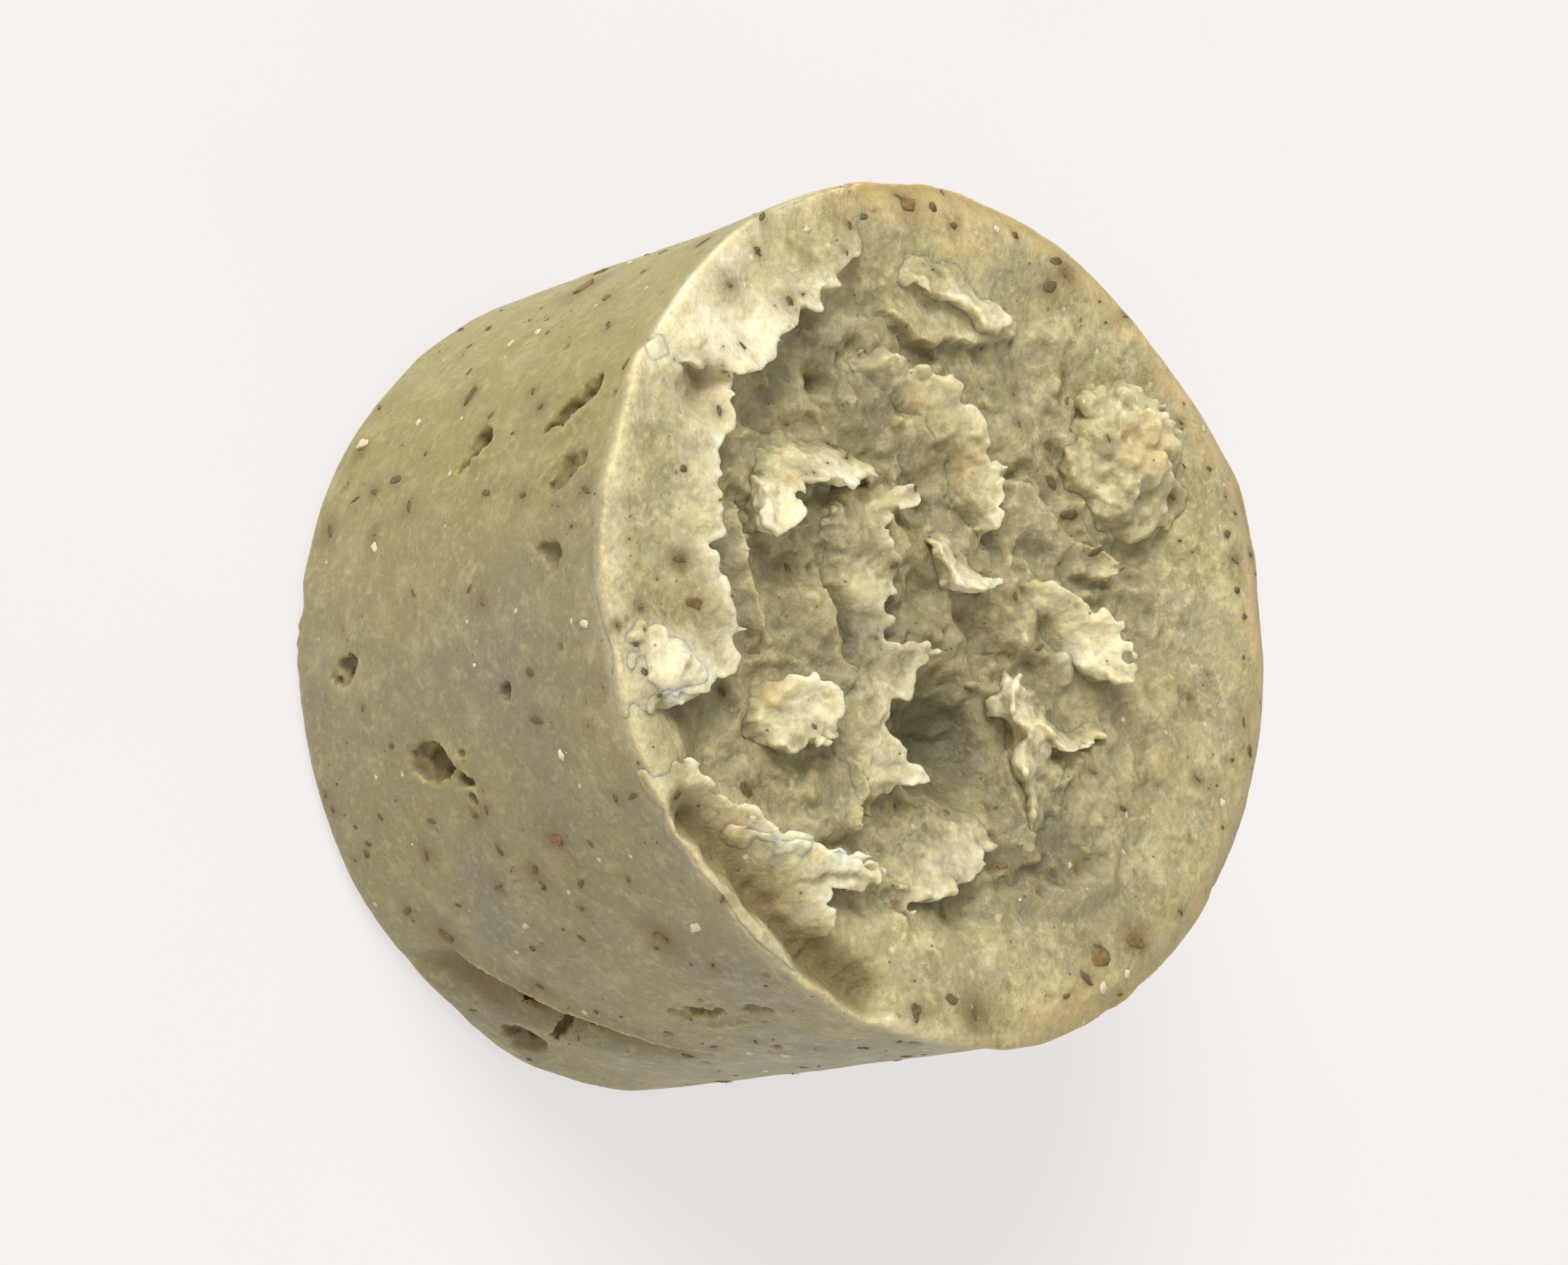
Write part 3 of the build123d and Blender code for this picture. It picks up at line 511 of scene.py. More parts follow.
# Rounded pieces are made of nodules that run into each other: x, y, height of the middle over the floor, radius
NODULES = {
    "crumb_lump": [
        (-8.4, 20.4, 0.8, 3.9), (-12, 19.4, 1.1, 2), (-12.4, 22.4, 0.9, 2), (-10.4, 17.4, 1, 1.8),
        (-8, 16.4, 0.9, 1.9), (-5.4, 18.4, 0.9, 2.2), (-4.2, 21.8, 0.5, 2.4), (-4.6, 24.6, 0, 2.2),
        (-8, 24.4, 0.3, 2.4), (-11.2, 24.2, 0.8, 1.7), (-10.8, 19.6, 3.6, 1.2), (-10.4, 21.6, 4, 1.3),
        (-8.6, 22.2, 3.9, 1.3), (-7, 20.8, 4, 1.4), (-6.4, 18.8, 2.8, 1.3), (-9.6, 17.6, 2.8, 1.1),
        (-12.6, 20.6, 2.9, 1), (-3, 24, 0.9, 0.9), (-2.8, 19.6, 0.2, 1.2), (-12.9, 17.6, 1.9, 0.9),
        (-5.6, 22.4, 2.4, 1.2), (-9.4, 24.4, 2.5, 1.1),
    ],
    "flap_knob": [
        (-0.8, -28.6, 1.9, 1.9), (-2.6, -29.4, 1.6, 1.7), (0, -27, 1.7, 1.6), (0.6, -29.6, 1.5, 1.3),
        (-1.8, -27.2, 1.6, 1.3), (-3.4, -31, 1.6, 0.9), (-1.6, -31.3, 1.7, 0.9), (0.2, -31.3, 1.6, 0.8),
        (-4.6, -30.7, 1.7, 0.6), (1.4, -31, 1.7, 0.6), (0.9, -27.9, 2.1, 0.9),
    ],
}


def layers_field(layers, x, y, z, under):
    """The field of a piece made of torn layers, undercut along the torn edges, and how near an edge is."""
    warp_x, warp_y = torn_places(x, y)
    field = np.full(z.shape, 1e3, np.float32)
    closeness = np.zeros(x.shape, np.float32)
    for layer in layers:
        edge, (level,) = along(layer["torn"], warp_x, warp_y)
        if layer.get("rim"):
            outline, back_path = outline_of(layer)
            border = inside(outline, warp_x, warp_y)
            back, _ = along(back_path, x, y)
            ends = smooth_step(0, 2.2, back)
            lift = FLOOR_Z + level - rim_height(x, y)
            top = rim_height(x, y) - 0.15 + 0.4 * ends + np.maximum(lift, 0) * smooth_step(5, 0, edge) * ends
            top = top + layer["curl"] * np.exp(-edge / 0.8)
            top = top - valleys(warp_x, warp_y)
        else:
            top, border = layer_top(layer, warp_x, warp_y, under)
        peeled = terraces(noise(warp_x, warp_y, 6, 3.6, 3, 1), 2.5)
        steps, rounding = (0.1, 0.35) if layer.get("rim") else (0.45, 0.6)
        top = (top + 0.16 * noise(x, y, 4, 1.7, 2, 2) + steps * peeled)[..., None]
        undercut = 0.3 * np.clip(top - z, 0, 2.2) * smooth_step(2.5, 0.5, edge)[..., None]
        field = np.minimum(field, smooth_max(border[..., None] + undercut, z - top, rounding))
        closeness = np.maximum(closeness, smooth_step(1.6, 0.2, edge))
    return field, closeness


def nodules_field(nodules, x, y, z):
    """The field of a piece made of nodules that run into each other."""
    x = x[..., None] + 0.5 * noise(*np.broadcast_arrays(x[..., None], y[..., None], z), 1.9, 2, 1)
    y = y[..., None] + 0.5 * noise(*np.broadcast_arrays(x, y[..., None], z), 1.9, 2, 2)
    field = np.full(np.broadcast(x, z).shape, 1e3, np.float32)
    for ball_x, ball_y, middle, radius in nodules:
        ball = np.sqrt((x - ball_x) ** 2 + (y - ball_y) ** 2 + (z - FLOOR_Z - middle) ** 2) - radius
        field = -smooth_max(-field, -ball, 0.6)
    return field


def piece_field(name, step):
    """The field of a lump or a flap on its own grid, sunk into the soap under it."""
    if name in NODULES:
        corners = [(i, j) for i in (-1, 1) for j in (-1, 1)]
        plan = np.array([(x + i * r, y + j * r) for x, y, _, r in NODULES[name] for i, j in corners])
    else:
        plan = np.array([point for layer in PIECES[name] for point in outline_of(layer)[0]])
    axes = grid_axes((*plan.min(0) - 1.6, FLOOR_Z - 5.4), (*plan.max(0) + 1.6, RIM_Z + 3.2), step)
    x, y = np.meshgrid(axes[0], axes[1], indexing="ij")
    z = axes[2][None, None, :]
    under = ground(x, y)
    if name in NODULES:
        field, closeness = nodules_field(NODULES[name], x, y, z), np.ones(x.shape, np.float32)
    else:
        field, closeness = layers_field(PIECES[name], x, y, z, under)
    near = np.nonzero(np.abs(field) < 1.0)
    px, py, pz = (axis[i] for axis, i in zip(axes, near))
    close = closeness[near[0], near[1]]
    lumps = noise(px, py, pz, 1.5, 2, 0) + 0.85 * noise(px, py, pz, 0.8, 1, 2)
    calm = 0.35 if name in FLAPS else 1.0
    field[near] -= (0.2 * calm + 0.22 * close) * lumps + 0.03 * noise(px, py, pz, 0.45, 1, 1)
    field = smooth_max(field, (under - EMBEDDED)[..., None] - z, 0.3)
    azimuth = np.degrees(np.arctan2(y, x))
    proud = (0.42 + 0.25 * noise(x, y, 3, 3.4, 3, 1)) * smooth_step(64, 40, np.abs(azimuth + 112))
    lip = wall_radius(azimuth, np.full(x.shape, RIM_Z - 0.4)) - 0.3 + proud
    return smooth_max(field, (np.hypot(x, y) - lip)[..., None], 0.25).astype(np.float32), axes


# ---------------------------------------------------------------- from fields to meshes


def surface(field, axes):
    """The closed surface where a field crosses 0, as vertices and quads, wound to face outwards."""
    step = axes[0][1] - axes[0][0]
    solid = field < 0
    corners = [(i, j, k) for i in (0, 1) for j in (0, 1) for k in (0, 1)]
    size = [n - 1 for n in field.shape]
    count = sum(solid[tuple(slice(o, o + n) for o, n in zip(c, size))].astype(np.uint8) for c in corners)
    crossed = (count > 0) & (count < 8)
    cells = np.argwhere(crossed)
    number = np.full(crossed.shape, -1, np.int64)
    number[crossed] = np.arange(len(cells))
    total = np.zeros((len(cells), 3))
    hits = np.zeros(len(cells))
    for a in corners:
        for axis in range(3):
            if a[axis]:
                continue
            b = tuple(1 if n == axis else v for n, v in enumerate(a))
            near = field[tuple((cells + a).T)]
            far = field[tuple((cells + b).T)]
            cut = (near < 0) != (far < 0)
            share = near[cut] / (near[cut] - far[cut])
            total[cut] += a
            total[cut, axis] += share
            hits[cut] += 1
    vertices = np.array([axis[0] for axis in axes]) + step * (cells + total / hits[:, None])
    quads = []
    for axis in range(3):
        u, v = (axis + 1) % 3, (axis + 2) % 3
        here = np.moveaxis(solid, (axis, u, v), (0, 1, 2))
        edges = np.argwhere(here[:-1, 1:-1, 1:-1] != here[1:, 1:-1, 1:-1])
        point = np.zeros_like(edges)
        point[:, axis], point[:, u], point[:, v] = edges[:, 0], edges[:, 1] + 1, edges[:, 2] + 1
        back_u, back_v = np.eye(3, dtype=int)[u], np.eye(3, dtype=int)[v]
        ring = [point, point - back_u, point - back_u - back_v, point - back_v]
        faces = np.stack([number[tuple(p.T)] for p in ring], 1)
        outwards = solid[tuple(point.T)]
        faces[~outwards] = faces[~outwards][:, ::-1]
        quads.append(faces)
    return vertices, np.concatenate(quads)


def connected(count, links):
    """A label for each of count vertices, the same for all that links join."""
    label = np.arange(count)
    while True:
        lowest = np.minimum(label[links[:, 0]], label[links[:, 1]])
        following = label.copy()
        np.minimum.at(following, links[:, 0], lowest)
        np.minimum.at(following, links[:, 1], lowest)
        following = following[following]
        if np.array_equal(following, label):
            return label
        label = following


def largest_part(vertices, quads):
    """The largest connected part of a surface, without the crumbs that float free."""
    links = np.concatenate([quads[:, (0, 1)], quads[:, (1, 2)], quads[:, (2, 3)]])
    label = connected(len(vertices), links)
    best = np.bincount(label).argmax()
    kept = np.flatnonzero(label == best)
    renumber = np.full(len(vertices), -1)
    renumber[kept] = np.arange(len(kept))
    return vertices[kept], renumber[quads[label[quads[:, 0]] == best]]


def new_object(name, vertices, faces):
    """A smooth-shaded mesh object from places in millimetres."""
    mesh = bpy.data.meshes.new(name)
    mesh.from_pydata((np.asarray(vertices) * MM).tolist(), [], [list(map(int, face)) for face in faces])
    mesh.update()
    mesh.shade_smooth()
    piece = bpy.data.objects.new(name, mesh)
    bpy.context.collection.objects.link(piece)
    return piece


def thin_out(piece, most):
    """Merges the flattest faces of a mesh until it has at most that many triangles."""
    triangles = sum(len(face.vertices) - 2 for face in piece.data.polygons)
    if triangles <= most:
        return
    thinner = piece.modifiers.new("thin out", "DECIMATE")
    thinner.ratio = most / triangles
    depsgraph = bpy.context.evaluated_depsgraph_get()
    mesh = bpy.data.meshes.new_from_object(piece.evaluated_get(depsgraph))
    piece.modifiers.clear()
    piece.data = mesh
    mesh.shade_smooth()


def places(piece):
    """The vertices of a piece in millimetres."""
    flat = np.empty(3 * len(piece.data.vertices), np.float32)
    piece.data.vertices.foreach_get("co", flat)
    return flat.reshape(-1, 3) / MM


def edges_of(piece):
    """The pairs of vertices that a piece's edges join."""
    flat = np.empty(2 * len(piece.data.edges), np.int32)
    piece.data.edges.foreach_get("vertices", flat)
    return flat.reshape(-1, 2)


def neighbour_mean(values, edges, count):
    """The mean of the neighbours' values at each vertex."""
    a, b = edges.T
    total = np.bincount(a, values[b], count) + np.bincount(b, values[a], count)
    return total / np.maximum(np.bincount(edges.ravel(), minlength=count), 1)


def convexity(piece):
    """How sharply the surface bulges at each vertex, smoothed: above 0 on crests, below 0 in creases."""
    mesh = piece.data
    count = len(mesh.vertices)
    edges = edges_of(piece)
    normals = np.empty(3 * count, np.float32)
    mesh.vertex_normals.foreach_get("vector", normals)
    normals = normals.reshape(-1, 3)
    spots = places(piece)
    for _ in range(2):
        spots = np.stack([neighbour_mean(spots[:, axis], edges, count) for axis in range(3)], 1)
    mean = np.stack([neighbour_mean(spots[:, axis], edges, count) for axis in range(3)], 1)
    length = np.linalg.norm(spots[edges[:, 0]] - spots[edges[:, 1]], axis=1)
    size = neighbour_mean(np.full(count, length.mean()), edges, count)
    bulge = -((mean - spots) * normals).sum(1) / size
    for _ in range(3):
        bulge = neighbour_mean(bulge, edges, count)
    return bulge


def store(piece, name, values):
    """Keeps a value from 0 to 1 at each vertex, for the material."""
    attribute = piece.data.attributes.new(name, "FLOAT", "POINT")
    attribute.data.foreach_set("value", np.clip(values, 0, 1).astype(np.float32))


# Patches of paler soap, of warmer soap and of painted shade: x, y, reach, strength
PALE_PATCHES = [
    (-24.4, -17.6, 11, 1.35), (-1, -28.4, 4.5, 1.25), (-10.5, -15.2, 3.4, 0.9), (-11, -8.5, 3, 0.9),
    (-21.6, -3.6, 3.6, 0.8), (4.2, -16, 4.6, 0.75), (5, 12.6, 5, 1.1), (7.6, 2.8, 3.6, 0.6),
    (-2, 0.8, 3.6, 0.5), (14.5, -18.6, 4.6, 0.5), (17.8, -6, 5, 0.45), (-21.4, 8.6, 4.4, 0.6),
    (-10.4, 22, 4.6, 0.6), (-11.4, -9, 4.4, 0.6), (-10, -15, 4, 0.3),
]
# Warmer soap; the patches under the near flap's lip and in the gap near (-12, -13) are painted warm shade
WARM_PATCHES = [
    (-8.8, 20.6, 3.6, 1.3), (14, 17, 6, 0.4), (12.4, -26.8, 3.6, 0.9), (17, -24.2, 3.8, 1),
    (21.2, -21.2, 3.4, 0.8), (24.6, -17.8, 3, 0.7), (-19.6, -19.2, 3, 1), (-26.5, -12, 3, 0.6),
    (-5, -26, 3.6, 0.5), (2.6, -19, 3, 0.6), (-12, -13.2, 1.8, 0.8), (-16, 2.4, 4.4, 0.45),
    (-11, 4.6, 3.4, 0.5), (2.6, 10.8, 3, 0.5), (10.6, 3.4, 3.2, 0.5), (-27.5, 9, 5, 0.5),
]
# Painted shade: darker in hollows, under lips and flaps, and over the top's side away from the key light
SHADE_PATCHES = [
    (14, 17, 14, 0.3), (21, 4, 9, 0.6), (20, -6, 6, 0.3), (-2, -6, 6, 0.3), (5, -7, 5, 0.25),
    (-19.9, -19.4, 2.8, 0.4), (9.8, -3, 7, 0.75), (28, -8, 7, 0.2), (-12, -12.4, 2.2, 0.5), (1, -6, 7, 0.4),
    (0.4, -10.2, 5.4, 0.8), (24.2, 9.2, 7.5, 0.42), (15, 25.6, 7, 0.22), (-16, -3.4, 5, 0.22),
    (3, -26.2, 3.2, 0.55),
]


def patches(x, y, spots):
    """How strongly places in plan lie in any of some patches."""
    total = np.zeros(np.shape(x), np.float32)
    for patch_x, patch_y, reach, strength in spots:
        total = np.maximum(total, strength * blob(x, y, patch_x, patch_y, reach))
    return total


# How much painted shade, darker and browner, the soap gets where it is sunken, in valleys, in the wall's holes
# and under its lap
SUNKEN_SHADE, VALLEY_SHADE, PIT_SHADE, LAP_SHADE = 0.42, 0.05, 0.3, 0.15
PIT_SHADE_BROWN, VALLEY_SHADE_BROWN = 0.6, 0.13
# How pale the rim's lip, the sharp edges of the wall and the pale patches are; on the lip and the edges this is
# partly painted glow of thin edges
LIP_PALE, WALL_EDGE_PALE, PATCH_PALE = 0.4, 0.8, 0.75


def outer_ring(reach):
    """1 in the outer ring of the puck that the wall's holes reach into, 0 nearer its middle."""
    return smooth_step(26, 28, reach)


def wall_share(reach, z):
    """1 on the wall and in its holes, 0 on the top."""
    wall = smooth_step(RIM_RADIUS - 2.0, RIM_RADIUS - 1.0, reach) * smooth_step(RIM_Z - 0.3, RIM_Z - 0.9, z)
    return np.maximum(wall, outer_ring(reach) * smooth_step(RIM_Z - 4.0, RIM_Z - 5.5, z))


def crest_share(node, spots, over, bulge, wall, front):
    """How pale each place is as a torn crest, a sharp edge of the wall or the rim's lip: partly paler, dried
    soap and partly painted glow of thin edges.
    """
    x, y, z = spots.T
    reach = np.hypot(x, y)
    uneven = 0.5 + 0.5 * smooth_step(-0.3, 0.3, noise(x, y, z, 4.0, 3, 2))
    lip = front * uneven * np.exp(-(((reach - RIM_RADIUS + 0.5) / 0.9) ** 2))
    lip = lip * smooth_step(RIM_Z - 2.0, RIM_Z - 0.6, z)
    pale_and_glow = smooth_step(0.03, 0.36, bulge) * (1 - wall) * (1 - 0.7 * front * smooth_step(29, 31, reach))
    pale_and_glow = pale_and_glow + LIP_PALE * lip
    pale_and_glow = pale_and_glow + WALL_EDGE_PALE * smooth_step(0.07, 0.28, bulge) * wall
    if node in PIECES:
        nearness = np.maximum.reduce([np.exp(-along(layer["torn"], x, y)[0]) for layer in PIECES[node]])
        pale_and_glow = pale_and_glow + 0.75 * nearness * smooth_step(0.4, 1.8, over) + 0.12 * smooth_step(0.3, 2.0, over)
    elif node in NODULES:
        share, base = (0.8, 0.8) if node == "flap_knob" else (0.6, 0.2)
        pale_and_glow = share * pale_and_glow + base * smooth_step(0.2, 2.4, over)
    pale = patches(x, y, PALE_PATCHES) * (1 - wall) * smooth_step(-1.0, 1.2, z - FLOOR_Z)
    return pale_and_glow + PATCH_PALE * pale


def pit_shares(spots, wall):
    """How much each place lies in one of the wall's holes or under its lap, and how much under its lap."""
    x, y, z = spots.T
    reach = np.hypot(x, y)
    azimuth = np.degrees(np.arctan2(y, x))
    pit = smooth_step(0.15, 0.75, wall_radius(azimuth, z) - reach) * smooth_step(RIM_Z - 1.0, RIM_Z - 2.5, z)
    pit = pit * outer_ring(reach)
    span, beneath = lap(azimuth, z)
    lapped = wall * span * smooth_step(-0.05, 0.2, beneath)
    lapped = lapped * smooth_step(7.5, 5.5, beneath + 2.0 * noise(x, y, z, 3.0, 3, 0))
    return np.maximum(pit, lapped), lapped


def mark(piece, node, stains):
    """Stores what the soap's material needs: pale crests, partly painted glow of thin edges; painted shade in
    hollows, creases, pits, valleys and under the wall's lap; the warm rim, the wall, and plant stains with
    painted brown shade.
    """
    spots = places(piece)
    x, y, z = spots.T
    reach = np.hypot(x, y)
    azimuth = np.degrees(np.arctan2(y, x))
    front = smooth_step(15, -30, azimuth) * smooth_step(-190, -160, azimuth)
    bulge = convexity(piece)
    over = z - ground(x, y)
    wall = wall_share(reach, z)
    # Pale crests: partly paler, dried soap and partly painted glow of thin edges
    store(piece, "pale_and_glow", crest_share(node, spots, over, bulge, wall, front))
    # Painted shade: darker below the dish's floor, in the wall's holes, under its lap, in sunken places, in
    # valleys and in the shade patches
    deep_shade = smooth_step(FLOOR_Z - 1.4, FLOOR_Z - 3.8, z) * (1 - wall) * smooth_step(RIM_Z - 7, RIM_Z - 6, z)
    pit, lapped = pit_shares(spots, wall)
    sunken = roughness_in_plan(x, y) * smooth_step(1.5, 0.2, over) * smooth_step(RIM_Z - 0.8, RIM_Z - 2.2, z)
    valley = valleys(x, y)
    low_shade = (SUNKEN_SHADE * sunken + patches(x, y, SHADE_PATCHES) + VALLEY_SHADE * valley) * (1 - wall)
    store(piece, "painted_shade", deep_shade + PIT_SHADE * pit + LAP_SHADE * lapped + low_shade)
    # Painted shade in creases and in the wall's holes
    store(piece, "crease_shade", smooth_step(-0.02, -0.28, bulge) * (1 - wall) + 0.5 * pit)
    band = smooth_step(RIM_RADIUS - 5.0, RIM_RADIUS - 0.8, reach) * smooth_step(RIM_Z - 5, RIM_Z - 1.2, z)
    # Warm rim and warmer patches, with painted warm shade under the near flap's lip and in the gap near (-12,
    # -13)
    warm = patches(x, y, WARM_PATCHES) * smooth_step(RIM_Z - 7, RIM_Z - 4, z) * (1 - wall)
    store(piece, "warm", np.maximum(band * (1 - 0.85 * front), warm))
    store(piece, "wall", wall)
    # Plant stains round the inclusions, and painted brown shade in the wall's holes, under its lap and in
    # valleys
    stain = PIT_SHADE_BROWN * pit + VALLEY_SHADE_BROWN * valley * (1 - wall)
    for middle, spread, strength in stains:
        window = np.flatnonzero(np.abs(spots - middle).max(1) < 3 * spread)
        distance = np.linalg.norm(spots[window] - middle, axis=1)
        stain[window] = np.maximum(stain[window], strength * np.exp(-((distance / spread) ** 2)))
    store(piece, "stain", stain)


# ---------------------------------------------------------------- inclusions


def islands(node):
    """Middle, long axis and half length of each separate solid in a CAD node, in millimetres."""
    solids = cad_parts[node]
    spots = places(solids)
    _, first, place = np.unique(np.round(spots, 3), axis=0, return_index=True, return_inverse=True)
    alike = np.stack([np.arange(len(spots)), first[place.ravel()]], 1)
    label = connected(len(spots), np.concatenate([edges_of(solids), alike]))
    found = []
    for solid in np.unique(label):
        cloud = spots[label == solid]
        low, high = cloud.min(0), cloud.max(0)
        middle = (low + high) / 2
        _, _, axes = np.linalg.svd(cloud - middle, full_matrices=False)
        half = np.abs((cloud - middle) @ axes[0]).max()
        found.append((middle, axes[0], float(half)))
    return sorted(found, key=lambda item: tuple(np.round(item[0], 3)))


def bands(first, rows, count):
    """The faces between rows of vertices, each row a closed ring of count vertices."""
    faces = []
    for row in range(rows - 1):
        start = first + row * count
        for k in range(count):
            a, b = start + k, start + (k + 1) % count
            faces.append((a, b, b + count, a + count))
    return faces


# The rings of a chip: share of its outline, share of its thickness
CHIP_RINGS = [(1.0, -1.2), (1.02, 0.15), (0.82, 0.85), (0.4, 1.0)]


def chip(rng, half, width_share, thickness, curl):
    """An irregular flake round the origin, lying along X, with its edge under local Z = 0."""
    count = 9
    turns = np.arange(count) / count * 2 * math.pi
    spread = rng.uniform(0.72, 1.12, count)
    outer = np.stack([half * spread * np.cos(turns), half * width_share * spread * np.sin(turns)], 1)
    vertices = [
        (px * share, py * share, thickness * level + curl * (px * share / half) ** 2)
        for share, level in CHIP_RINGS for px, py in outer
    ]
    faces = bands(0, len(CHIP_RINGS), count)
    faces.append(tuple(range(len(vertices) - count, len(vertices))))
    faces.append(tuple(reversed(range(count))))
    return np.array(vertices), faces


def grain(rng, radius, squash):
    """A small uneven ball round the origin."""
    rows, count = 5, 9
    vertices = [(0, 0, -1)]
    for row in range(1, rows):
        tilt = math.pi * row / rows
        for k in range(count):
            turn = 2 * math.pi * (k + 0.5 * (row % 2)) / count
            vertices.append((math.sin(tilt) * math.cos(turn), math.sin(tilt) * math.sin(turn), -math.cos(tilt)))
    vertices.append((0, 0, 1))
    vertices = np.array(vertices) * rng.uniform(0.8, 1.15, (len(vertices), 1))
    vertices = vertices * radius * np.array([1, squash, squash])
    faces = [(0, 1 + (k + 1) % count, 1 + k) for k in range(count)]
    faces += bands(1, rows - 1, count)
    last = len(vertices) - 1
    first = last - count
    faces += [(last, first + k, first + (k + 1) % count) for k in range(count)]
    return vertices, faces


def surface_of(soap):
    """A tree for finding the outside of all the soap, in millimetres."""
    vertices, faces, first = [], [], 0
    for piece in soap:
        spots = places(piece)
        vertices += [Vector(map(float, p)) for p in spots]
        faces += [tuple(first + v for v in face.vertices) for face in piece.data.polygons]
        first += len(spots)
    return BVHTree.FromPolygons(vertices, faces)


# What lies further out than the one and lower than the other is on the wall, not on the top
WALL_FROM = RIM_RADIUS - 1.6
WALL_TO = RIM_Z - 1.2
LOOK_FROM = 9  # how far outside a middle the search for the soap's surface starts
ABOVE_BASE = 1.0  # how high the lowest of the random inclusions are


def settle(tree, middle):
    """The place on the soap outside a middle, and the surface's normal there."""
    middle = Vector(map(float, middle))
    on_wall = math.hypot(middle.x, middle.y) > WALL_FROM and middle.z < WALL_TO
    out = Vector((middle.x, middle.y, 0)).normalized() if on_wall else Vector((0, 0, 1))
    spot, normal, _, _ = tree.ray_cast(middle + LOOK_FROM * out, -out)
    if spot is None:
        spot, normal, _, _ = tree.find_nearest(middle)
    return spot, normal


def random_spots(rng, body, count):
    """Random places all over the body, but not under it."""
    areas = np.empty(len(body.data.polygons))
    body.data.polygons.foreach_get("area", areas)
    found = []
    for index in rng.choice(len(areas), 3 * count, p=areas / areas.sum()):
        middle = body.data.polygons[int(index)].center / MM
        if middle.z > ABOVE_BASE:
            found.append(np.array(middle))
    return found[:count]


# Each kind of inclusion: how many further small ones and their half lengths, the share of the half length that
# it sinks into the soap, and the reach and strength of the stain round it
KINDS = {
    "leaf_flecks": {"more": 170, "sizes": (0.14, 0.52), "sunk": 0.0, "stain": (1.0, 1.0)},
    "seed_specks": {"more": 190, "sizes": (0.07, 0.2), "sunk": 0.45, "stain": (0.6, 0.7)},
    "petal_flecks": {"more": 14, "sizes": (0.2, 0.55), "sunk": 0.0, "stain": (1.6, 1.0)},
    "pale_grains": {"more": 30, "sizes": (0.12, 0.26), "sunk": 0.45, "stain": (0.8, 0.0)},
}


def inclusion_shape(kind, rng, half):
    """The mesh of one inclusion of a kind, round the origin."""
    if kind == "leaf_flecks":
        return chip(rng, half, rng.uniform(0.22, 0.6), 0.04 + 0.04 * half, rng.uniform(-0.03, 0.06))
    if kind == "petal_flecks":
        return chip(rng, half, rng.uniform(0.5, 0.8), 0.1, rng.uniform(0.0, 0.2))
    return grain(rng, half, rng.uniform(0.65, 0.95))


def make_inclusions(kind, seed, tree, body):
    """All inclusions of a kind as one piece, and the stains that they leave in the soap."""
    rng = np.random.default_rng(seed)
    spots = islands(kind)
    look = KINDS[kind]
    spread, strength = look["stain"]
    for middle in random_spots(rng, body, look["more"]):
        spots.append((middle, rng.normal(size=3), rng.uniform(*look["sizes"])))
    vertices, faces, stains, first = [], [], [], 0
    for middle, axis, half in spots:
        spot, normal = settle(tree, middle)
        lengthways = Vector(map(float, axis))
        lengthways = (lengthways - lengthways.dot(normal) * normal).normalized()
        turn = Matrix((lengthways, normal.cross(lengthways), normal)).transposed()
        shape, shape_faces = inclusion_shape(kind, rng, half)
        vertices.append(shape @ np.array(turn).T + np.array(spot - look["sunk"] * half * normal))
        faces += [tuple(first + v for v in face) for face in shape_faces]
        first += len(shape)
        reach = spread * (0.5 + half) * rng.uniform(0.7, 1.3)
        stains.append((np.array(spot), reach, strength * rng.uniform(0.2, 1.2)))
    piece = new_object(kind, np.concatenate(vertices), faces)
    return piece, stains


# ---------------------------------------------------------------- materials


WAX_SPREAD = (1.0, 0.8, 0.42)  # how far red, green and blue light spread, as shares of the reach
WAX_IOR = 1.42
SPECK_WARP_WAVE = 0.5
SPECK_WARP = 0.45
SPECK_CORE = 0.55  # the share of a speck's radius that has its full colour


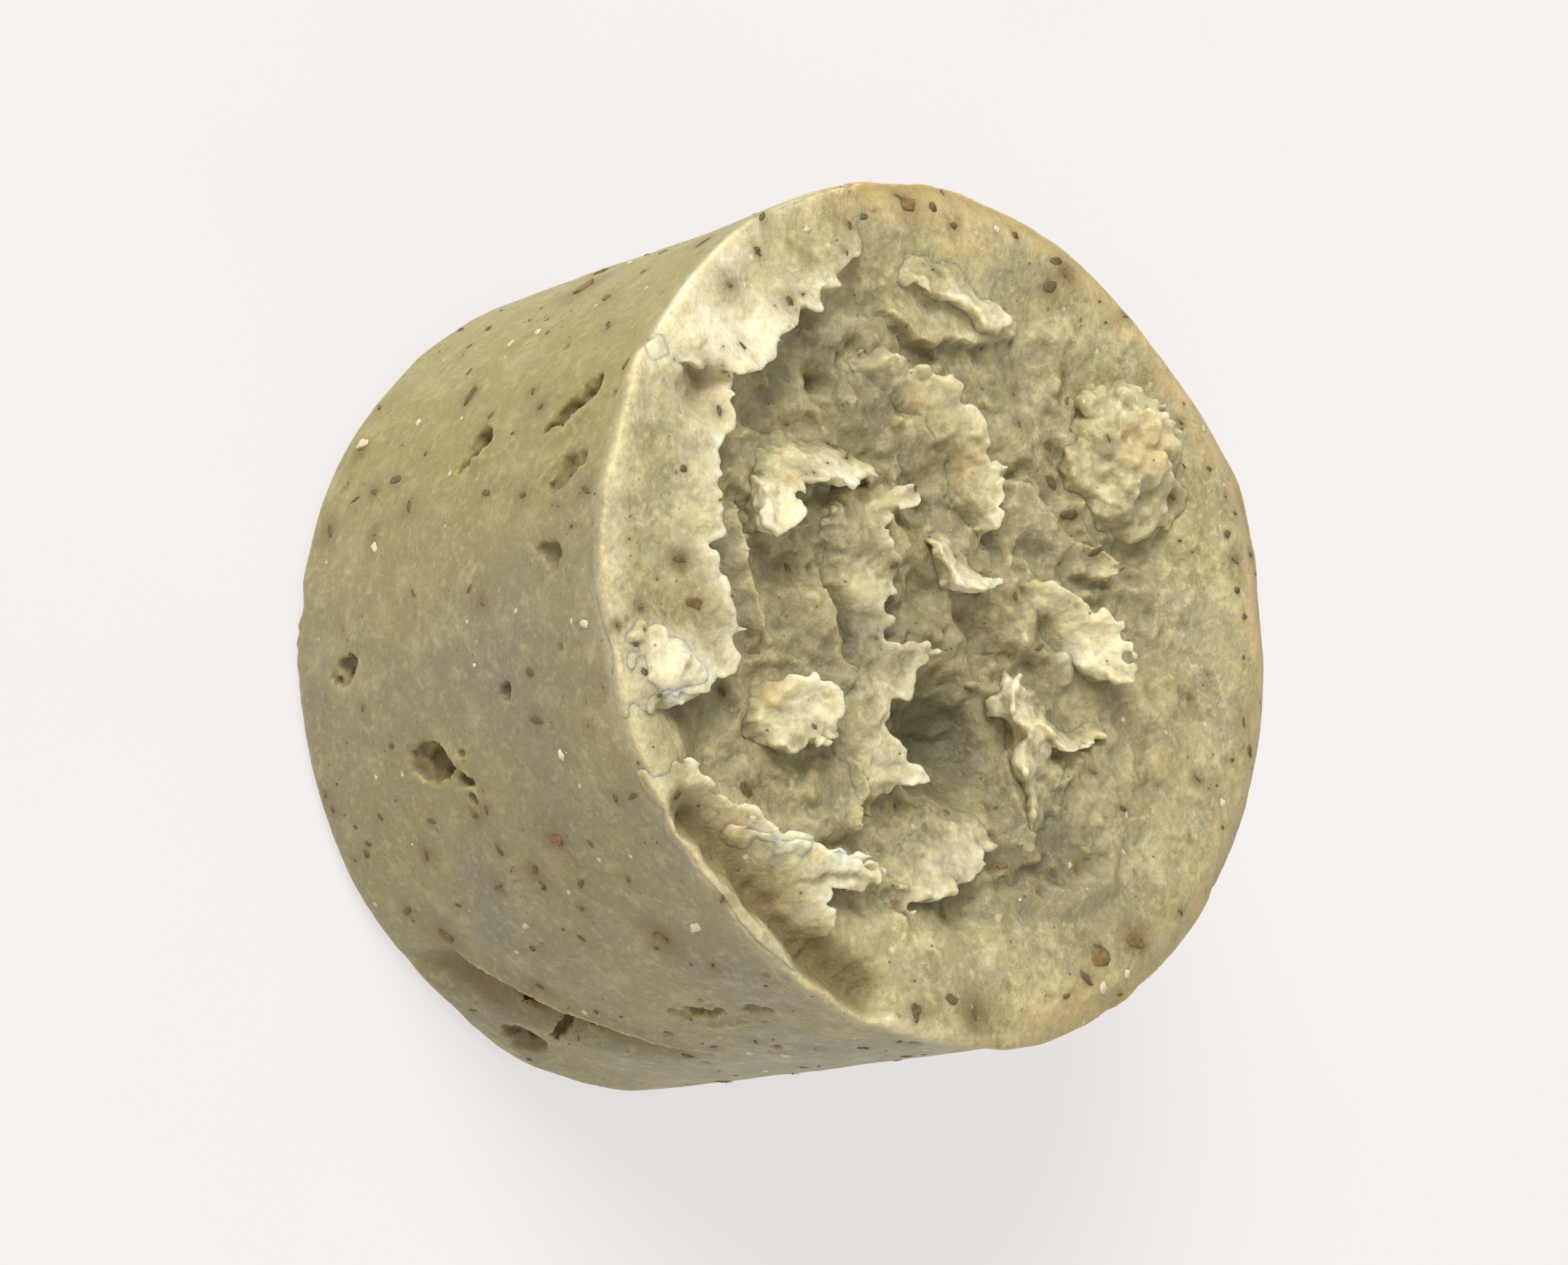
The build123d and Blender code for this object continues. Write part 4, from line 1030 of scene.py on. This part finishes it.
class Shader:
    """A material being built, node by node."""

    def __init__(self, name):
        self.material = bpy.data.materials.new(name)
        self.material.use_nodes = True
        self.nodes = self.material.node_tree.nodes
        self.links = self.material.node_tree.links
        self.surface = self.nodes["Principled BSDF"]
        self.place = self.node("TexCoord").outputs["Object"]

    def node(self, kind, inputs=None, **settings):
        """A new node with its settings and its inputs: links from sockets, or plain values."""
        made = self.nodes.new("ShaderNode" + kind)
        for key, value in settings.items():
            setattr(made, key, value)
        for key, value in (inputs or {}).items():
            self.feed(made.inputs[key], value)
        return made

    def feed(self, socket, value):
        """Gives an input a link or a plain value."""
        if isinstance(value, bpy.types.NodeSocket):
            self.links.new(value, socket)
        else:
            socket.default_value = value

    def stored(self, name):
        """The value stored at the vertices under a name."""
        return self.node("Attribute", attribute_name=name).outputs["Fac"]

    def cloud(self, wave, detail=4.0, roughness=0.55, low=0.35, high=0.65):
        """Cloudy values from 0 to 1 that change over about one wave in millimetres."""
        inputs = {"Vector": self.place, "Scale": 1 / (wave * MM), "Detail": detail, "Roughness": roughness}
        return self.between(self.node("TexNoise", inputs).outputs["Fac"], low, high)

    def between(self, value, low, high, bottom=0.0, top=1.0):
        """A value brought from low..high to bottom..top."""
        inputs = {"Value": value, "From Min": low, "From Max": high, "To Min": bottom, "To Max": top}
        return self.node("MapRange", inputs).outputs["Result"]

    def math(self, operation, a, b):
        """Arithmetic on two values."""
        made = self.node("Math", operation=operation)
        self.feed(made.inputs[0], a)
        self.feed(made.inputs[1], b)
        return made.outputs[0]

    def mix(self, share, a, b, blend="MIX"):
        """Two colours mixed."""
        made = self.node("Mix", data_type="RGBA", blend_type=blend)
        self.feed(made.inputs["Factor"], share)
        for socket, value in ((made.inputs[6], a), (made.inputs[7], b)):
            self.feed(socket, (*value, 1.0) if isinstance(value, tuple) else value)
        return made.outputs[2]

    def specks(self, wave, radius, share, seed_shift):
        """1 inside small round specks, one to a cell of about wave millimetres, in that share of the cells."""
        place = self.node("VectorMath", {0: self.place, 1: (seed_shift,) * 3}, operation="ADD")
        warp_inputs = {"Vector": self.place, "Scale": 1 / (SPECK_WARP_WAVE * MM), "Detail": 2.0}
        warp = self.node("TexNoise", warp_inputs).outputs["Color"]
        shaken = self.node("VectorMath", {0: warp, "Scale": SPECK_WARP * MM}, operation="SCALE")
        place = self.node("VectorMath", {0: place.outputs[0], 1: shaken.outputs[0]}, operation="ADD")
        cells = self.node("TexVoronoi", {"Vector": place.outputs[0], "Scale": 1 / (wave * MM)})
        near = self.between(cells.outputs["Distance"], radius / wave, SPECK_CORE * radius / wave)
        lot = self.node("SeparateColor", {"Color": cells.outputs["Color"]}).outputs["Red"]
        return self.math("MULTIPLY", near, self.math("LESS_THAN", lot, share))

    def bump(self, heights):
        """A normal bumped by several heights, each given with its depth in millimetres."""
        normal = None
        for height, depth in heights:
            made = self.node("Bump", {"Height": height, "Distance": depth * MM, "Strength": 1.0})
            if normal is not None:
                self.links.new(normal, made.inputs["Normal"])
            normal = made.outputs["Normal"]
        return normal

    def finish(self, color, roughness, heights, wax, wax_reach):
        """Sets the surface: its colour, roughness, bumps and how far light spreads in it, in millimetres."""
        self.feed(self.surface.inputs["Base Color"], color)
        self.feed(self.surface.inputs["Roughness"], roughness)
        self.feed(self.surface.inputs["Normal"], self.bump(heights))
        self.surface.inputs["Subsurface Weight"].default_value = wax
        self.surface.inputs["Subsurface Radius"].default_value = WAX_SPREAD
        self.surface.inputs["Subsurface Scale"].default_value = wax_reach * MM
        self.surface.inputs["IOR"].default_value = WAX_IOR
        return self.material


GREY_SOAP = (0.355, 0.330, 0.205)
OLIVE_SOAP = (0.440, 0.395, 0.190)
WARM_SOAP = (0.570, 0.470, 0.245)
WALL_SOAP = (0.285, 0.250, 0.105)
WALL_GREY = (0.235, 0.216, 0.128)
# Yellow painted on the wall's side towards the key light: painted light
LIT_SIDE_YELLOW = (0.300, 0.258, 0.082)
RIM_SOAP = (0.630, 0.465, 0.200)
PALE_SOAP = (0.950, 0.905, 0.680)
CREAM_SOAP = (0.740, 0.640, 0.350)
# Dark colour of the painted shade in hollows, pits and under the lap
SHADE_DARK = (0.120, 0.106, 0.056)
# Brown of plant stains and specks, and of the painted shade in pits, under the lap and in valleys
STAIN_AND_SHADE_BROWN = (0.190, 0.132, 0.045)
DARK_SPECK = (0.095, 0.065, 0.028)
BROWN_SOAP = (0.280, 0.210, 0.080)
GREEN_SOAP = (0.370, 0.365, 0.170)
# Ochre of the painted shade in creases
CREASE_SHADE_OCHRE = (0.330, 0.250, 0.090)
GRAIN_DARK = (0.56, 0.50, 0.31)
GRAIN_LIGHT = (0.72, 0.67, 0.47)
FLOOR_DARK = (0.215, 0.205, 0.202)
FLOOR_LIGHT = (0.225, 0.215, 0.212)
FLOOR_GLOW = (1.0, 0.96, 0.95, 1.0)
FLOOR_GLOW_STRENGTH = 0.66
# Plant matter: the material's name, its dark and light colours, the wave of its streaks and its roughness
PLANTS = {
    "leaf_flecks": ("dried_leaf", (0.080, 0.056, 0.020), (0.260, 0.190, 0.075), 0.3, 0.7),
    "seed_specks": ("seed_husk", (0.080, 0.052, 0.020), (0.260, 0.170, 0.065), 0.3, 0.6),
    "petal_flecks": ("dried_petal", (0.130, 0.072, 0.022), (0.370, 0.240, 0.070), 0.5, 0.6),
}


# Clouds of colour in the soap: wave, detail, roughness, low, high, strength on top and on the wall, colour
MOTTLES = [
    (3.1, 5.0, 0.68, 0.5, 0.64, 0.7, 0.16, CREAM_SOAP),
    (2.7, 5.0, 0.68, 0.5, 0.64, 0.6, 0.18, BROWN_SOAP),
    (1.3, 4.0, 0.65, 0.52, 0.64, 0.5, 0.14, GREEN_SOAP),
    (0.75, 3.0, 0.6, 0.54, 0.64, 0.4, 0.15, CREAM_SOAP),
]
# Fine specks in the soap: wave, radius, share of the cells, shift, strength, colour
SPECKS = [
    (2.3, 0.34, 0.3, 0.03, 0.4, STAIN_AND_SHADE_BROWN),
    (1.3, 0.16, 0.28, 0.07, 0.7, DARK_SPECK),
    (1.9, 0.26, 0.14, 0.11, 0.45, PALE_SOAP),
]
GRIT_DARK = (0.36, 0.36, 0.36)
GRIT_LIGHT = (0.64, 0.64, 0.64)


def soap_material(name):
    """Waxy, mottled soap with fine specks: paler on torn crests, partly painted glow of thin edges; yellower on
    the rim; painted yellower on the wall's side towards the key light; painted shade in hollows, creases, pits
    and valleys.
    """
    s = Shader(name)
    marks = ("pale_and_glow", "crease_shade", "painted_shade", "warm", "wall", "stain")
    pale_and_glow, crease_shade, painted_shade, warm, wall, stain = (s.stored(mark_name) for mark_name in marks)
    clouds = s.cloud(7.0, 5.0, 0.6)
    patches = s.cloud(2.4, 4.0, 0.6)
    grit = s.cloud(0.45, 3.0, 0.6, 0.3, 0.7)
    top = s.mix(clouds, GREY_SOAP, OLIVE_SOAP)
    top = s.mix(s.math("MULTIPLY", patches, 0.6), top, WARM_SOAP)
    side = s.mix(s.cloud(13.0, 5.0, 0.6, 0.36, 0.66), WALL_GREY, WALL_SOAP)
    across = s.node("SeparateXYZ", {"Vector": s.place}).outputs["X"]
    # Painted light: the wall is yellower towards -X, the side the key light falls on
    side = s.mix(s.between(across, -4 * MM, -26 * MM), side, LIT_SIDE_YELLOW)
    color = s.mix(wall, top, side)
    coats = [
        (s.cloud(*cloud), s.between(wall, 0, 1, on_top, on_wall), tint)
        for *cloud, on_top, on_wall, tint in MOTTLES
    ]
    cream = s.mix(s.between(patches, 0, 1, 0.3, 1.0), CREAM_SOAP, PALE_SOAP)
    coats += [
        # Pale crests: partly paler, dried soap and partly painted glow of thin edges
        (pale_and_glow, s.between(grit, 0, 1, 0.7, 1.0), cream),
        (warm, s.between(patches, 0, 1, 0.35, 0.85), RIM_SOAP),
        # Painted shade in hollows, pits, under the lap and in the shade patches
        (painted_shade, 0.8, SHADE_DARK),
        # Painted ochre shade in creases and holes
        (crease_shade, 0.4, CREASE_SHADE_OCHRE),
        # Plant stains, and painted brown shade in pits, under the lap and in valleys
        (stain, 0.8, STAIN_AND_SHADE_BROWN),
    ]
    coats += [(s.specks(*specks), strength, tint) for *specks, strength, tint in SPECKS]
    for share, strength, tint in coats:
        color = s.mix(s.math("MULTIPLY", share, strength), color, tint)
    color = s.mix(0.4, color, s.mix(grit, GRIT_DARK, GRIT_LIGHT), "OVERLAY")
    coarse = s.math("MULTIPLY", s.cloud(1.1, 4.0, 0.6, 0.2, 0.8), s.between(wall, 0, 1, 1.0, 0.35))
    heights = [(coarse, 0.24), (s.cloud(0.32, 3.0, 0.6, 0.2, 0.8), 0.05)]
    return s.finish(color, s.between(patches, 0, 1, 0.38, 0.55), heights, 1.0, 1.25)


def plant_material(name, dark, light, wave, roughness):
    """Dried plant matter: two colours in streaks and fine grain."""
    s = Shader(name)
    streaks = s.cloud(wave, 4.0, 0.65, 0.3, 0.7)
    grit = s.cloud(0.12, 2.0, 0.5, 0.3, 0.7)
    color = s.mix(s.math("MULTIPLY", streaks, s.between(grit, 0, 1, 0.5, 1.0)), dark, light)
    return s.finish(color, s.between(grit, 0, 1, roughness - 0.1, roughness + 0.1), [(grit, 0.03)], 0.0, 0.1)


def grain_material():
    """Pale waxy grains of undissolved soap."""
    s = Shader("pale_grain")
    grit = s.cloud(0.4, 3.0, 0.6)
    color = s.mix(grit, GRAIN_DARK, GRAIN_LIGHT)
    return s.finish(color, s.between(grit, 0, 1, 0.4, 0.6), [(grit, 0.04)], 0.3, 0.6)


def floor_material():
    """Plain pale paper-like floor."""
    s = Shader("pale_floor")
    cloudy = s.cloud(60, 3.0, 0.5)
    color = s.mix(cloudy, FLOOR_DARK, FLOOR_LIGHT)
    s.surface.inputs["Specular IOR Level"].default_value = 0.0
    s.surface.inputs["Emission Color"].default_value = FLOOR_GLOW
    s.surface.inputs["Emission Strength"].default_value = FLOOR_GLOW_STRENGTH
    return s.finish(color, s.between(cloudy, 0, 1, 0.9, 0.95), [(s.cloud(0.8), 0.005)], 0.0, 0.1)


# ---------------------------------------------------------------- stage


FLOOR_HALF = 6.0 / MM


def make_floor():
    """A wide level floor at the puck's base."""
    corners = [(i * FLOOR_HALF, j * FLOOR_HALF, 0) for i, j in ((-1, -1), (1, -1), (1, 1), (-1, 1))]
    floor = new_object("floor", corners, [(0, 1, 2, 3)])
    floor.data.materials.append(floor_material())


CAMERA_PLACE = Vector((0.0, -0.1894, 0.2527))
CAMERA_AIM = Vector((-0.0014, -0.0003, 0.0210))
CAMERA_ROLL = 75.8
CAMERA_LENS = 87.0


def make_camera():
    """The camera: in front of the puck and above it, rolled so that the puck's axis lies across the picture."""
    data = bpy.data.cameras.new("camera")
    data.lens = CAMERA_LENS
    data.clip_start, data.clip_end = 0.01, 20
    camera = bpy.data.objects.new("camera", data)
    bpy.context.collection.objects.link(camera)
    look = (CAMERA_AIM - CAMERA_PLACE).normalized()
    level = look.to_track_quat("-Z", "Y").to_matrix()
    rolled = level @ Matrix.Rotation(math.radians(CAMERA_ROLL), 3, "Z")
    camera.matrix_world = Matrix.Translation(CAMERA_PLACE) @ rolled.to_4x4()
    bpy.context.scene.camera = camera


# Each light: where it comes from, its strength and its spread in degrees
LIGHTS = {"key": (Vector((-0.66, -0.31, 0.68)), 2.75, 32), "fill": (Vector((0.65, -0.65, 0.4)), 0.6, 90)}
SURROUND = (1.0, 0.99, 0.985, 1.0)
SURROUND_STRENGTH = 0.52


def make_light():
    """Plain soft studio light: a broad key from the left and above, a weak fill and a pale surround."""
    for name, (source, strength, spread) in LIGHTS.items():
        data = bpy.data.lights.new(name, "SUN")
        data.energy = strength
        data.angle = math.radians(spread)
        lamp = bpy.data.objects.new(name, data)
        lamp.rotation_euler = source.to_track_quat("Z", "Y").to_euler()
        bpy.context.collection.objects.link(lamp)
    world = bpy.data.worlds.new("surround")
    world.use_nodes = True
    background = world.node_tree.nodes["Background"]
    background.inputs["Color"].default_value = SURROUND
    background.inputs["Strength"].default_value = SURROUND_STRENGTH
    bpy.context.scene.world = world
    bpy.context.scene.view_settings.view_transform = "Standard"


# ---------------------------------------------------------------- putting it together


def make_soap():
    """The body and every lump and flap, each in place of its CAD node."""
    made = {}
    field, axes = body_field(BODY_STEP)
    made["soap_body"] = new_object("soap_body_cast", *largest_part(*surface(field, axes)))
    for name in [*PIECES, *NODULES]:
        field, axes = piece_field(name, FLAP_STEP if name in FLAPS else LUMP_STEP)
        made[name] = new_object(name + "_paste", *largest_part(*surface(field, axes)))
    for piece in made.values():
        thin_out(piece, MOST_FACES)
    return made


def take_place(piece, node, material):
    """A piece rides with the puck, stands for its CAD node and gets its material."""
    piece.data.materials.clear()
    piece.data.materials.append(material)
    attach(piece, "root")
    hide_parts(node)


def main():
    make_camera()
    make_light()
    make_floor()
    soap = make_soap()
    tree = surface_of(soap.values())
    plants = {node: plant_material(*look) for node, look in PLANTS.items()} | {"pale_grains": grain_material()}
    stains = []
    for seed, (node, material) in enumerate(plants.items()):
        piece, marks = make_inclusions(node, seed, tree, soap["soap_body"])
        piece.name = node + "_set"
        take_place(piece, node, material)
        stains += marks
    body_material, paste_material = soap_material("soap"), soap_material("raised_paste")
    for node, piece in soap.items():
        mark(piece, node, stains)
        slot, material = ("soap", body_material) if node == "soap_body" else ("raised_paste", paste_material)
        take_place(piece, node, material)


main()
